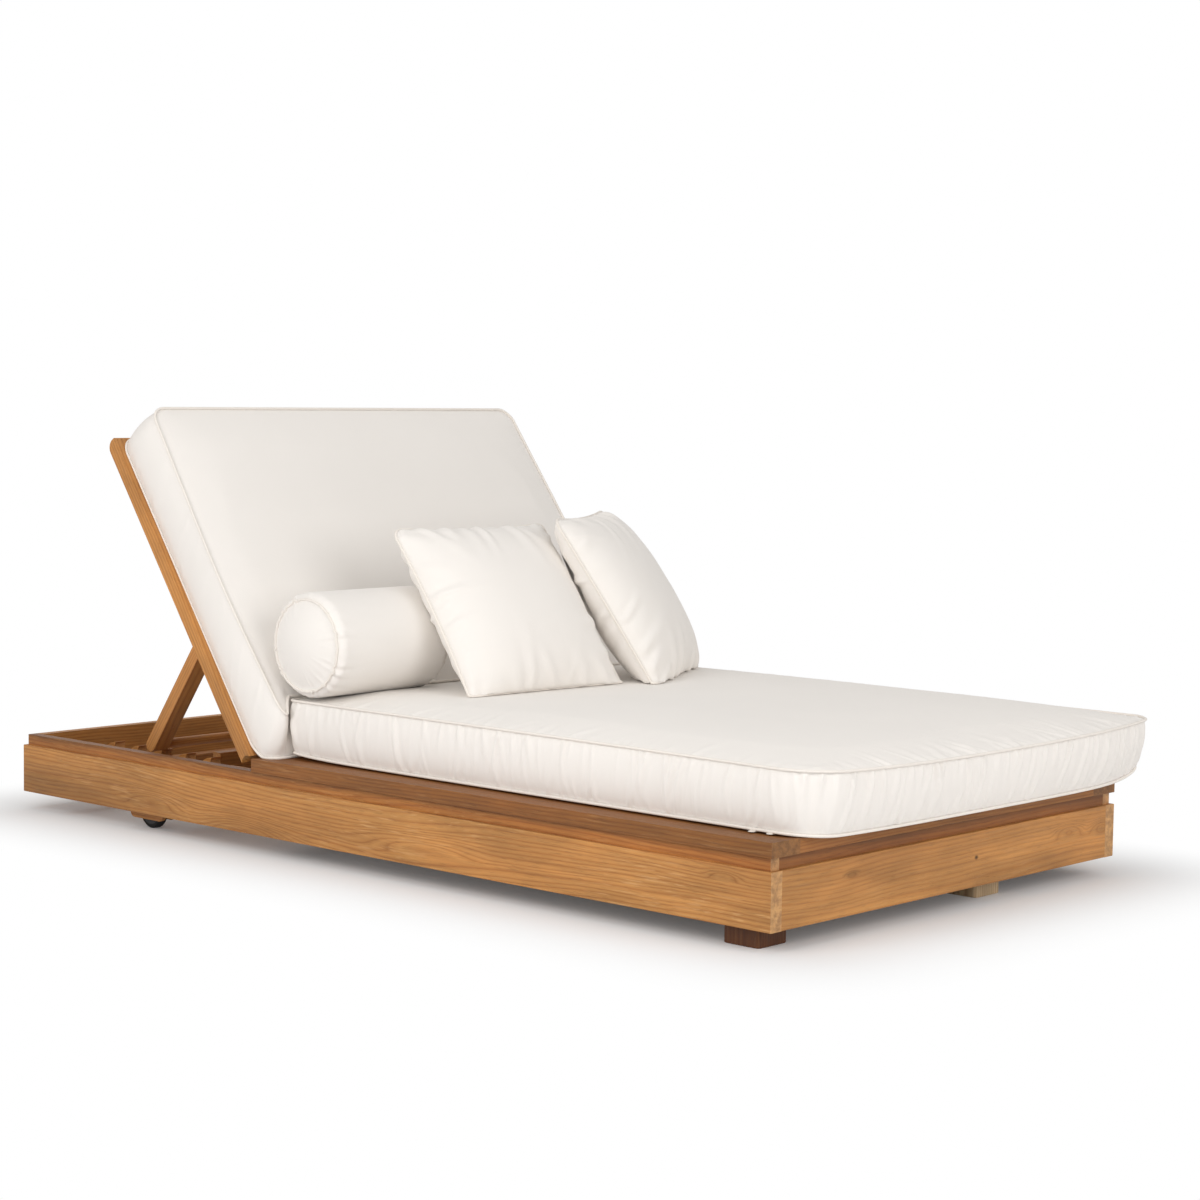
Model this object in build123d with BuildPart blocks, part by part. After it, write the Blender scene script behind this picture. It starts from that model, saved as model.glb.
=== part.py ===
"""Wide reclining chaise lounger: a timber base on wheels, a hinged back on a prop, and its cushions.

X runs across the lounger, Y from the foot end (minus) to the head end (plus), and Z up.
The origin is on the ground under the middle of the whole object, the overhang of the seat cushion
included. The base is drawn about X = 0 and moved as it is saved. All lengths are in millimetres.
"""

import os
from math import atan2, cos, degrees, hypot, radians, sin, sqrt

from build123d import *

# Base frame
base_length = 2100.0
base_width = 1074.0
board_thickness = 30.0
board_height = 126.0
rabbet_depth = 7.5
rabbet_height = 23.0
ground_gap = 38.0
arris = 1.5

# Foot blocks
foot_block_size = 80.0
foot_block_setback = 48.0
foot_block_round = 9.0
middle_foot_offset = 178.0

# Bearers and beams under the deck
bearer_thickness = 30.0
bearer_height = 50.0
bearer_lift = 10.0
beam_thickness = 22.0
beam_inset = 80.0
cross_rail_thickness = 25.0
cross_rail_height = 60.0
cross_rail_from_head = 470.0
bearer_end_gap = 90.0

# Deck
deck_thickness = 27.0
deck_rail_width = 77.0
deck_slat_width = 62.0
deck_slat_gap = 12.0
slat_end_gap = 1.0

# Hinge line, measured from the head end
hinge_from_head = 767.5
hinge_gap = 1.0
knuckle_radius = 4.5
hinge_pin_radius = 2.0
hinge_length = 64.0
hinge_end_inset = 20.0
hinge_leaf_depth = 28.0
hinge_leaf_thickness = 2.0
hinge_running_gap = 0.05
knuckle_end_gap = 0.3
knuckle_count = 3

# Back frame
recline_degrees = 54.9
stile_end_gap = 3.0
stile_cove_depth = 7.0
stile_top_round = 20.0
back_bottom_rail_start = 12.0
back_bottom_rail_width = 60.0
back_top_rail_width = 50.0
back_slat_thickness = 10.0
back_slat_width = 60.0
back_slat_count = 8
batten_width = 40.0
batten_leg_gap = 91.7
bar_pocket_width = 32.5

# Prop
prop_pivot_below = 31.5
prop_pivot_along = 343.0
prop_length = 358.0
prop_leg_width = 40.0
prop_leg_depth = 28.0
prop_bar_radius = 10.0
prop_tenon_radius = 6.0
prop_tenon_length = 25.0
prop_bar_rise = 5.3
bracket_thickness = 4.0
bracket_half_length = 30.0
bracket_eye_radius = 15.0
bracket_seat_gap = 1.0
washer_thickness = 4.0
washer_radius = 10.0
stud_radius = 4.0
nut_radius = 7.5
nut_thickness = 6.0
running_gap = 0.05
face_gap = 0.3

# Racks
rack_thickness = 27.0
rack_inset = 130.0
rack_height = 53.0
tooth_count = 5
tooth_pitch = 82.0
first_tooth_from_head = 159.0
tooth_depth = 20.0
hook_reach = 7.0
hook_drop = 9.5
tooth_back_run = 44.0
tooth_back_crown = 5.0
rack_shelf_drop = 15.0
rack_end_gap = 18.0

# Wheels
wheel_radius = 38.0
wheel_width = 20.0
wheel_inset = 50.0
wheel_from_head = 395.0
tyre_thickness = 9.0
tyre_shoulder = 4.0
wheel_side_gap = 1.0
axle_radius = 4.0
axle_head_radius = 8.0
axle_head_thickness = 4.0
bracket_length = 110.0
bracket_cheek = 9.0
bracket_below_base = 18.0
bracket_corner = 14.0
wheel_top_gap = 4.0

# Cushions
cushion_edge_height = 113.0
cushion_crown = 12.0
cushion_side_bulge = 7.0
seat_cushion_corner = 50.0
back_cushion_corner = 30.0
cushion_draw_in = 4.0
cushion_gap = 0.3
seat_left_inset = 40.0
seat_right_overhang = 58.0
seat_foot_overhang = 37.0
seat_rear_from_hinge = 50.0
back_cushion_left_inset = 30.0
back_cushion_right_overhang = 18.0
back_cushion_thickness = 113.0
back_cushion_top_inset = 8.0
back_cushion_start = 10.0

# Bolster
bolster_radius = 106.0
bolster_length = 316.0
bolster_left_inset = 46.0
bolster_cap_crown = 14.0
bolster_shoulder = 12.0
bolster_back_gap = 3.0
bolster_crown_share = 0.5
bolster_rest_share = 0.67

# Throw pillows: place of the middle of the lower edge, turn about Z and lean back, in degrees
pillow_size = 402.0
pillow_half_thickness = 62.0
pillow_edge_half = 5.0
pillow_draw_in = 14.0
pillow_from_seat_rear = 332.5
left_pillow_from_bolster = 83.0
left_pillow_turn_degrees = -8.5
left_pillow_lean_degrees = 34.8
right_pillow_inset = 199.0
right_pillow_turn_degrees = 27.9
right_pillow_lean_degrees = 31.4

# Places worked out from the sizes above
half_length = base_length / 2
half_width = base_width / 2
inner_half_width = half_width - board_thickness
inner_half_length = half_length - board_thickness
base_top = ground_gap + board_height
deck_top = base_top + deck_thickness
hinge_y = half_length - hinge_from_head
hinge_z = deck_top + knuckle_radius
deck_end = hinge_y - hinge_gap
bearer_bottom = ground_gap + bearer_lift
bearer_top = bearer_bottom + bearer_height
rail_inner_edge = half_width - deck_rail_width
back_length = hinge_from_head
recline = radians(recline_degrees)
frame_front = -knuckle_radius
frame_back = frame_front - deck_thickness
back_top_rail_start = back_length - back_top_rail_width
back_bottom_rail_end = back_bottom_rail_start + back_bottom_rail_width
back_plane = Plane(
    origin=(0, hinge_y, hinge_z),
    x_dir=(1, 0, 0),
    z_dir=(0, -sin(recline), cos(recline)),
)
side_plane = Plane(
    origin=(0, hinge_y, hinge_z),
    x_dir=(0, cos(recline), sin(recline)),
    z_dir=(1, 0, 0),
)
tooth_top = bearer_top + rack_height
pivot_y = hinge_y + prop_pivot_along * cos(recline) + prop_pivot_below * sin(recline)
pivot_z = hinge_z + prop_pivot_along * sin(recline) - prop_pivot_below * cos(recline)
bar_z = tooth_top + prop_bar_radius + prop_bar_rise
bar_y = pivot_y + sqrt(prop_length**2 - (pivot_z - bar_z) ** 2)
prop_plane = Plane(
    origin=(0, pivot_y, pivot_z),
    x_dir=(0, bar_y - pivot_y, bar_z - pivot_z),
    z_dir=(1, 0, 0),
)
leg_outer = rail_inner_edge - bracket_thickness - washer_thickness - face_gap
leg_inner = leg_outer - prop_leg_width
rack_outer = half_width - rack_inset
rack_inner = rack_outer - rack_thickness
wheel_y = half_length - wheel_from_head
wheel_x = half_width - wheel_inset
wheel_z = wheel_radius
cheek_inner = wheel_x - wheel_width / 2 - wheel_side_gap
cheek_outer = wheel_x + wheel_width / 2 + wheel_side_gap
bracket_inner = cheek_inner - bracket_cheek
seat_cushion_width = base_width + seat_right_overhang - seat_left_inset
seat_cushion_middle = (seat_right_overhang + seat_left_inset) / 2
back_cushion_width = base_width + back_cushion_right_overhang - back_cushion_left_inset
back_cushion_middle = (back_cushion_right_overhang + back_cushion_left_inset) / 2
seat_foot = -half_length - seat_foot_overhang
seat_rear = hinge_y - seat_rear_from_hinge
seat_cushion_length = seat_rear - seat_foot
seat_bottom = deck_top + cushion_gap
seat_edge_top = seat_bottom + cushion_edge_height
origin_x = seat_right_overhang / 2
origin_y = -seat_foot_overhang / 2

os.makedirs("parts", exist_ok=True)


def save(piece, name):
    """Move one finished piece to the origin of the whole object, label it and write its file."""
    placed = piece.moved(Location((-origin_x, -origin_y, 0)))
    placed.label = name
    export_step(placed, f"parts/{name}.step")


def save_pair(left_piece, name):
    """Write the left piece and its mirror image on the right."""
    save(left_piece, f"{name}_left")
    save(mirror(left_piece, about=Plane.YZ), f"{name}_right")


# Base boards: a rabbet runs round the top outer edge and shows as a shadow line
def side_board():
    outer_band_top = base_top - rabbet_height
    with BuildPart() as board:
        with BuildSketch(Plane.XZ):
            with BuildLine():
                Polyline(
                    (-half_width, ground_gap),
                    (-half_width, outer_band_top),
                    (-half_width + rabbet_depth, outer_band_top),
                    (-half_width + rabbet_depth, base_top),
                    (-inner_half_width, base_top),
                    (-inner_half_width, ground_gap),
                    close=True,
                )
            make_face()
        extrude(amount=half_length, both=True)
        with BuildSketch(Plane.XY.offset(outer_band_top)):
            with GridLocations(0, base_length - rabbet_depth, 1, 2):
                Rectangle(base_width, rabbet_depth)
        extrude(amount=rabbet_height, mode=Mode.SUBTRACT)
        outer_edges = board.edges().filter_by(Axis.Y).group_by(Axis.X)[0]
        fillet(outer_edges, arris)
    return board.part


def end_board(end):
    """The foot board (end = -1) or head board (end = 1), between the side boards."""
    outer_band_top = base_top - rabbet_height
    outer = end * half_length
    inner = end * inner_half_length
    stepped = end * (half_length - rabbet_depth)
    with BuildPart() as board:
        with BuildSketch(Plane.YZ):
            with BuildLine():
                Polyline(
                    (outer, ground_gap),
                    (outer, outer_band_top),
                    (stepped, outer_band_top),
                    (stepped, base_top),
                    (inner, base_top),
                    (inner, ground_gap),
                    close=True,
                )
            make_face()
        extrude(amount=inner_half_width, both=True)
        outer_edges = board.edges().filter_by(Axis.X).group_by(Axis.Y)[0 if end < 0 else -1]
        fillet(outer_edges, arris)
    return board.part


save_pair(side_board(), "side_board")
save(end_board(-1), "foot_board")
save(end_board(1), "head_board")


# Foot blocks: the left and middle ones stand before the first bearer, the right one behind it
front_foot_y = -half_length + foot_block_setback + foot_block_size / 2
front_bearer_y = front_foot_y + foot_block_size / 2 + bearer_thickness / 2
rear_foot_y = front_bearer_y + bearer_thickness / 2 + foot_block_size / 2
outer_foot_x = inner_half_width - foot_block_size / 2


def foot_block(center_x, center_y):
    with BuildPart() as block:
        with BuildSketch():
            with Locations((center_x, center_y)):
                RectangleRounded(foot_block_size, foot_block_size, foot_block_round)
        extrude(amount=bearer_top)
        chamfer(block.faces().sort_by(Axis.Z)[0].edges(), arris)
    return block.part


save(foot_block(-outer_foot_x, front_foot_y), "foot_block_left")
save(foot_block(middle_foot_offset, front_foot_y), "foot_block_middle")
save(foot_block(outer_foot_x, rear_foot_y), "foot_block_right")


# Bearers cross the base between the side boards
def bearer(center_y):
    with BuildPart() as rail:
        with BuildSketch(Plane.XY.offset(bearer_bottom)):
            with Locations((0, center_y)):
                Rectangle(2 * inner_half_width, bearer_thickness)
        extrude(amount=bearer_height)
        chamfer(rail.edges().filter_by(Axis.X), arris)
    return rail.part


cross_rail_y = half_length - cross_rail_from_head
deck_end_bearer_y = deck_end - bearer_thickness / 2
middle_bearer_y = (front_bearer_y + deck_end_bearer_y) / 2
head_bearer_y = inner_half_length - bearer_end_gap
bearer_places = {
    "bearer_foot": front_bearer_y,
    "bearer_middle": middle_bearer_y,
    "bearer_deck_end": deck_end_bearer_y,
    "bearer_rack_middle": cross_rail_y,
    "bearer_head": head_bearer_y,
}
for bearer_name, bearer_y in bearer_places.items():
    save(bearer(bearer_y), bearer_name)


# Beams stand on the bearers and carry the deck
def deck_beam(center_x):
    with BuildPart() as beam:
        with BuildSketch(Plane.XY.offset(bearer_top)):
            with Locations((center_x, (deck_end - inner_half_length) / 2)):
                Rectangle(beam_thickness, deck_end + inner_half_length)
        extrude(amount=base_top - bearer_top)
    return beam.part


save_pair(deck_beam(-half_width + beam_inset + beam_thickness / 2), "deck_beam")
save(deck_beam(0), "deck_beam_middle")


# Hinge mortises are cut where the leaves lie flush in the deck and in the back frame
outer_hinge_x = rail_inner_edge - hinge_end_inset - hinge_length / 2
hinge_places = (-outer_hinge_x, 0, outer_hinge_x)


def leaf_mortise(plane, center_x, direction):
    """A shallow pocket at the hinge line, on the deck (direction = -1) or the back (1)."""
    with BuildPart(mode=Mode.PRIVATE) as pocket:
        with BuildSketch(plane.offset(frame_front - hinge_leaf_thickness)):
            with Locations((center_x, direction * hinge_leaf_depth / 2)):
                Rectangle(hinge_length, hinge_leaf_depth)
        extrude(amount=hinge_leaf_thickness + face_gap)
    return pocket.part


deck_plane = Plane(origin=(0, hinge_y, hinge_z))


# Deck: side rails run the whole length and show end grain at the foot
def deck_side_rail():
    with BuildPart() as rail:
        with BuildSketch(Plane.XY.offset(base_top)):
            with Locations((-half_width + deck_rail_width / 2, (deck_end - half_length) / 2)):
                Rectangle(deck_rail_width, deck_end + half_length)
        extrude(amount=deck_thickness)
        long_edges = rail.edges().filter_by(Axis.Y).group_by(Axis.X)[0]
        fillet(long_edges, arris)
    return rail.part


def deck_cross_rail(center_y, has_hinge):
    with BuildPart() as rail:
        with BuildSketch(Plane.XY.offset(base_top)):
            with Locations((0, center_y)):
                Rectangle(2 * rail_inner_edge, deck_rail_width)
        extrude(amount=deck_thickness)
        fillet(rail.edges().filter_by(Axis.X), arris)
        if has_hinge:
            for place in hinge_places:
                add(leaf_mortise(deck_plane, place, -1), mode=Mode.SUBTRACT)
    return rail.part


def deck_slats():
    first = -half_length + deck_rail_width
    last = deck_end - deck_rail_width
    count = int((last - first - deck_slat_gap) / (deck_slat_width + deck_slat_gap))
    pitch = (last - first - deck_slat_width) / count
    center_y = (first + last) / 2
    with BuildPart() as slats:
        with BuildSketch(Plane.XY.offset(base_top)):
            with Locations((0, center_y)):
                with GridLocations(0, pitch, 1, count):
                    Rectangle(2 * (rail_inner_edge - slat_end_gap), deck_slat_width)
        extrude(amount=deck_thickness)
    return slats.part


save_pair(deck_side_rail(), "deck_side_rail")
save(deck_cross_rail(-half_length + deck_rail_width / 2, False), "deck_foot_rail")
save(deck_cross_rail(deck_end - deck_rail_width / 2, True), "deck_rear_rail")
save(deck_slats(), "deck_slats")


# Racks: hooked teeth lean towards the foot end and hold the bar of the prop
def rack():
    floor_z = tooth_top - tooth_depth
    shelf_z = tooth_top - rack_shelf_drop
    hook_radius = hypot(hook_reach, hook_drop)
    first_tip = half_length - first_tooth_from_head
    rack_start = deck_end + rack_end_gap
    rack_end = head_bearer_y + bearer_thickness / 2
    drop_to_floor = tooth_depth - hook_drop
    hook_foot = sqrt(hook_radius**2 - drop_to_floor**2)
    tips = [first_tip - index * tooth_pitch for index in range(tooth_count)]
    with BuildPart() as body:
        with BuildSketch(Plane.YZ.offset(-rack_outer)):
            with BuildLine():
                Line((rack_end, bearer_top), (rack_end, floor_z))
                corner = (rack_end, floor_z)
                for tip in tips:
                    back_foot = (tip + tooth_back_run, floor_z)
                    back_middle = (tip + tooth_back_run / 2, tooth_top - tooth_back_crown)
                    hook_center_y = tip - hook_reach
                    hook_center_z = tooth_top - hook_drop
                    hook_deep = (hook_center_y + hook_radius, hook_center_z)
                    hook_low = (hook_center_y - hook_foot, floor_z)
                    Line(corner, back_foot)
                    ThreePointArc(back_foot, back_middle, (tip, tooth_top))
                    ThreePointArc((tip, tooth_top), hook_deep, hook_low)
                    corner = hook_low
                shelf_end = corner[0] - tooth_depth
                Polyline(
                    corner,
                    (shelf_end, shelf_z),
                    (rack_start, shelf_z),
                    (rack_start, bearer_top),
                    (rack_end, bearer_top),
                )
            make_face()
        extrude(amount=rack_thickness)
    return body.part


def rack_cross_rail():
    with BuildPart() as rail:
        with BuildSketch(Plane.XY.offset(bearer_top)):
            with Locations((0, cross_rail_y)):
                Rectangle(2 * rack_inner, cross_rail_thickness)
        extrude(amount=cross_rail_height)
        chamfer(rail.edges().filter_by(Axis.X), arris)
    return rail.part


save_pair(rack(), "rack")
save(rack_cross_rail(), "rack_cross_rail")


# Wheel brackets: a slotted block behind each side board, with the wheel in the slot
def wheel_bracket():
    bottom = ground_gap - bracket_below_base
    slot_top = wheel_z + wheel_radius + wheel_top_gap
    with BuildPart() as block:
        with BuildSketch(Plane.YZ.offset(-inner_half_width)):
            with Locations((wheel_y, (bottom + bearer_top) / 2)):
                Rectangle(bracket_length, bearer_top - bottom)
        extrude(amount=inner_half_width - bracket_inner)
        lower_corners = block.edges().filter_by(Axis.X).group_by(Axis.Z)[0]
        fillet(lower_corners, bracket_corner)
        with BuildSketch(Plane.YZ.offset(-cheek_outer)):
            with Locations((wheel_y, (bottom + slot_top) / 2)):
                Rectangle(bracket_length, slot_top - bottom)
        extrude(amount=cheek_outer - cheek_inner, mode=Mode.SUBTRACT)
        with BuildSketch(Plane.YZ.offset(-inner_half_width)):
            with Locations((wheel_y, wheel_z)):
                Circle(axle_radius)
        extrude(amount=inner_half_width - bracket_inner, mode=Mode.SUBTRACT)
    return block.part


def wheel_axle():
    with BuildPart() as axle:
        with BuildSketch(Plane.YZ.offset(-inner_half_width + face_gap)):
            with Locations((wheel_y, wheel_z)):
                Circle(axle_radius)
        extrude(amount=inner_half_width - face_gap - bracket_inner)
        with BuildSketch(Plane.YZ.offset(-bracket_inner)):
            with Locations((wheel_y, wheel_z)):
                Circle(axle_head_radius)
        extrude(amount=axle_head_thickness)
    return axle.part


def wheel_hub():
    rim_radius = wheel_radius - tyre_thickness
    bore_radius = axle_radius + running_gap
    half = wheel_width / 2
    with BuildPart() as hub:
        with BuildSketch(Plane.YZ.offset(-wheel_x - half)):
            with Locations((wheel_y, wheel_z)):
                Circle(rim_radius)
                Circle(bore_radius, mode=Mode.SUBTRACT)
        extrude(amount=wheel_width)
    return hub.part


def wheel_tyre():
    half = wheel_width / 2
    with BuildPart() as tyre:
        with BuildSketch(Plane.YZ.offset(-wheel_x - half)):
            with Locations((wheel_y, wheel_z)):
                Circle(wheel_radius)
                Circle(wheel_radius - tyre_thickness, mode=Mode.SUBTRACT)
        extrude(amount=wheel_width)
        tread_edges = tyre.edges().filter_by(GeomType.CIRCLE).group_by(SortBy.RADIUS)[-1]
        chamfer(tread_edges, tyre_shoulder)
    return tyre.part


save_pair(wheel_bracket(), "wheel_bracket")
save_pair(wheel_axle(), "wheel_axle")
save_pair(wheel_hub(), "wheel_hub")
save_pair(wheel_tyre(), "wheel_tyre")


# Butt hinges: leaves let in flush, with knuckles standing above the deck
knuckle_length = hinge_length / knuckle_count
deck_section_plane = Plane(origin=(0, hinge_y, hinge_z), x_dir=(0, 1, 0), z_dir=(1, 0, 0))


def hinge_leaf(plane, section_plane, direction, center_x, first_knuckle):
    """One leaf: a flush plate and every second knuckle, for the deck (-1) or the back (1)."""
    start_x = center_x - hinge_length / 2
    with BuildPart() as leaf:
        with BuildSketch(plane.offset(frame_front - hinge_leaf_thickness)):
            with Locations((center_x, direction * (hinge_leaf_depth + hinge_gap) / 2)):
                Rectangle(hinge_length, hinge_leaf_depth - hinge_gap)
        extrude(amount=hinge_leaf_thickness)
        for index in range(first_knuckle, knuckle_count, 2):
            knuckle_start = start_x + index * knuckle_length + knuckle_end_gap
            with BuildSketch(section_plane.offset(knuckle_start)):
                Circle(knuckle_radius)
                with Locations((direction * knuckle_radius / 2, frame_front / 2)):
                    Rectangle(knuckle_radius, knuckle_radius)
                Circle(hinge_pin_radius + hinge_running_gap, mode=Mode.SUBTRACT)
            extrude(amount=knuckle_length - 2 * knuckle_end_gap)
            web_height = hinge_leaf_thickness + face_gap
            with BuildSketch(section_plane.offset(knuckle_start)):
                with Locations((direction * knuckle_radius / 2, frame_front - web_height / 2 + face_gap)):
                    Rectangle(knuckle_radius, web_height)
            extrude(amount=knuckle_length - 2 * knuckle_end_gap)
    return leaf.part


def hinge_pin(center_x):
    with BuildPart() as pin:
        with BuildSketch(Plane.YZ.offset(center_x - hinge_length / 2)):
            with Locations((hinge_y, hinge_z)):
                Circle(hinge_pin_radius)
        extrude(amount=hinge_length)
    return pin.part


deck_leaves = [hinge_leaf(deck_plane, deck_section_plane, -1, x, 0) for x in hinge_places]
back_leaves = [hinge_leaf(back_plane, side_plane, 1, x, 1) for x in hinge_places]
save(Compound(deck_leaves), "hinge_leaves_deck")
save(Compound(back_leaves), "hinge_leaves_back")
save(Compound([hinge_pin(x) for x in hinge_places]), "hinge_pins")


# Back frame: drawn in side view, as it leans at rest
def back_stile():
    cove_middle = (stile_end_gap + stile_cove_depth, (frame_front + frame_back) / 2)
    round_center = (back_length - stile_top_round, frame_back + stile_top_round)
    round_middle = (
        round_center[0] + stile_top_round * cos(radians(45)),
        round_center[1] - stile_top_round * sin(radians(45)),
    )
    with BuildPart() as stile:
        with BuildSketch(side_plane.offset(-half_width)):
            with BuildLine():
                Line((stile_end_gap, frame_front), (back_length, frame_front))
                Line((back_length, frame_front), (back_length, round_center[1]))
                ThreePointArc(
                    (back_length, round_center[1]), round_middle, (round_center[0], frame_back)
                )
                Line((round_center[0], frame_back), (stile_end_gap, frame_back))
                ThreePointArc(
                    (stile_end_gap, frame_back), cove_middle, (stile_end_gap, frame_front)
                )
            make_face()
        extrude(amount=deck_rail_width)
    return stile.part


def back_rail(start, width):
    with BuildPart() as rail:
        with BuildSketch(back_plane.offset(frame_back)):
            with Locations((0, start + width / 2)):
                Rectangle(2 * rail_inner_edge, width)
        extrude(amount=deck_thickness)
        chamfer(rail.edges().filter_by(Axis.X), arris)
    return rail.part


def back_bottom_rail():
    with BuildPart() as rail:
        add(back_rail(back_bottom_rail_start, back_bottom_rail_width))
        for place in hinge_places:
            add(leaf_mortise(back_plane, place, 1), mode=Mode.SUBTRACT)
    return rail.part


def back_slats():
    span = back_top_rail_start - back_bottom_rail_end
    pitch = (span + back_slat_width) / (back_slat_count + 1)
    pitch_start = back_bottom_rail_end + span / 2
    with BuildPart() as slats:
        with BuildSketch(back_plane.offset(frame_front - back_slat_thickness)):
            with Locations((0, pitch_start)):
                with GridLocations(0, pitch, 1, back_slat_count):
                    Rectangle(2 * rail_inner_edge, back_slat_width)
        extrude(amount=back_slat_thickness)
    return slats.part


# The battens leave a pocket below the top rail, where the bar of the prop lies when the back is flat
batten_end = back_top_rail_start - bar_pocket_width
batten_spacing = leg_inner - batten_leg_gap - batten_width / 2


def back_batten(center_x):
    with BuildPart() as batten:
        with BuildSketch(back_plane.offset(frame_back)):
            with Locations((center_x, (back_bottom_rail_end + batten_end) / 2)):
                Rectangle(batten_width, batten_end - back_bottom_rail_end)
        extrude(amount=deck_thickness - back_slat_thickness)
    return batten.part


save_pair(back_stile(), "back_stile")
save(back_bottom_rail(), "back_bottom_rail")
save(back_rail(back_top_rail_start, back_top_rail_width), "back_top_rail")
save(back_slats(), "back_slats")
save_pair(back_batten(-batten_spacing), "back_batten")
save(back_batten(0), "back_batten_middle")


# Prop: two legs hang on studs under the stiles and are joined by a round bar
pivot_in_side_plane = (prop_pivot_along, -prop_pivot_below)


def prop_bracket():
    seat_top = frame_front - back_slat_thickness - bracket_seat_gap
    with BuildPart() as bracket:
        with BuildSketch(side_plane.offset(-rail_inner_edge)):
            with Locations((prop_pivot_along, (seat_top + frame_back) / 2)):
                Rectangle(2 * bracket_half_length, seat_top - frame_back)
            with Locations(pivot_in_side_plane):
                Circle(bracket_eye_radius)
        extrude(amount=bracket_thickness)
        with BuildSketch(side_plane.offset(-rail_inner_edge)):
            with Locations(pivot_in_side_plane):
                Circle(stud_radius)
        extrude(amount=rail_inner_edge - leg_inner + face_gap + nut_thickness)
    return bracket.part


def prop_washer():
    with BuildPart() as washer:
        with BuildSketch(side_plane.offset(-rail_inner_edge + bracket_thickness)):
            with Locations(pivot_in_side_plane):
                Circle(washer_radius)
                Circle(stud_radius + running_gap, mode=Mode.SUBTRACT)
        extrude(amount=washer_thickness)
    return washer.part


def prop_nut():
    with BuildPart() as nut:
        with BuildSketch(side_plane.offset(-leg_inner + face_gap)):
            with Locations(pivot_in_side_plane):
                RegularPolygon(nut_radius, 6)
                Circle(stud_radius + running_gap, mode=Mode.SUBTRACT)
        extrude(amount=nut_thickness)
    return nut.part


def prop_leg():
    with BuildPart() as leg:
        with BuildSketch(prop_plane.offset(-leg_outer)):
            with Locations((prop_length / 2, 0)):
                SlotCenterToCenter(prop_length, prop_leg_depth)
            Circle(stud_radius + running_gap, mode=Mode.SUBTRACT)
        extrude(amount=prop_leg_width)
        with BuildSketch(prop_plane.offset(-leg_inner)):
            with Locations((prop_length, 0)):
                Circle(prop_tenon_radius + running_gap)
        extrude(amount=-prop_tenon_length - face_gap, mode=Mode.SUBTRACT)
    return leg.part


def prop_bar():
    with BuildPart() as bar:
        with BuildSketch(prop_plane.offset(-leg_inner)):
            with Locations((prop_length, 0)):
                Circle(prop_bar_radius)
        extrude(amount=2 * leg_inner)
        with BuildSketch(prop_plane.offset(-leg_inner - prop_tenon_length)):
            with Locations((prop_length, 0)):
                Circle(prop_tenon_radius)
        extrude(amount=2 * (leg_inner + prop_tenon_length))
    return bar.part


def both_sides(left_piece):
    return Compound([left_piece, mirror(left_piece, about=Plane.YZ)])


save_pair(prop_bracket(), "prop_bracket")
save(both_sides(prop_washer()), "prop_washers")
save(both_sides(prop_nut()), "prop_nuts")
save_pair(prop_leg(), "prop_leg")
save(prop_bar(), "prop_bar")


# Boxed cushions: crowned top, sides that swell between the seams, edges drawn in
def drawn_in_outline(center, width, height, corner):
    """A rectangle whose four sides pull in a little between rounded corners."""
    left = center[0] - width / 2
    right = center[0] + width / 2
    low = center[1] - height / 2
    high = center[1] + height / 2
    with BuildSketch(mode=Mode.PRIVATE) as outline:
        with BuildLine():
            ThreePointArc((left, low), (center[0], low + cushion_draw_in), (right, low))
            ThreePointArc((right, low), (right - cushion_draw_in, center[1]), (right, high))
            ThreePointArc((right, high), (center[0], high - cushion_draw_in), (left, high))
            ThreePointArc((left, high), (left + cushion_draw_in, center[1]), (left, low))
        make_face()
        fillet(outline.vertices(), corner)
    return outline.sketch


def boxed_section(center, width, low, edge_height):
    """Cushion section: flat underside, swelling sides and a crowned top."""
    left = center - width / 2 + cushion_side_bulge
    right = center + width / 2 - cushion_side_bulge
    high = low + edge_height
    middle = low + edge_height / 2
    with BuildSketch(mode=Mode.PRIVATE) as section:
        with BuildLine():
            Line((left, low), (right, low))
            ThreePointArc((right, low), (right + cushion_side_bulge, middle), (right, high))
            ThreePointArc((right, high), (center, high + cushion_crown), (left, high))
            ThreePointArc((left, high), (left - cushion_side_bulge, middle), (left, low))
        make_face()
    return section.sketch


def seat_cushion():
    center_y = (seat_foot + seat_rear) / 2
    reach = base_length
    across = boxed_section(seat_cushion_middle, seat_cushion_width, seat_bottom, cushion_edge_height)
    along = boxed_section(center_y, seat_cushion_length, seat_bottom, cushion_edge_height)
    plan_center = (seat_cushion_middle, center_y)
    plan = drawn_in_outline(plan_center, seat_cushion_width, seat_cushion_length, seat_cushion_corner)
    with BuildPart() as cushion:
        with BuildSketch(Plane.XZ):
            add(across)
        extrude(amount=reach, both=True)
        with BuildSketch(Plane.YZ):
            add(along)
        extrude(amount=reach, both=True, mode=Mode.INTERSECT)
        with BuildSketch():
            add(plan)
        extrude(amount=reach, mode=Mode.INTERSECT)
    return cushion.part


save(seat_cushion(), "seat_cushion")


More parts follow.
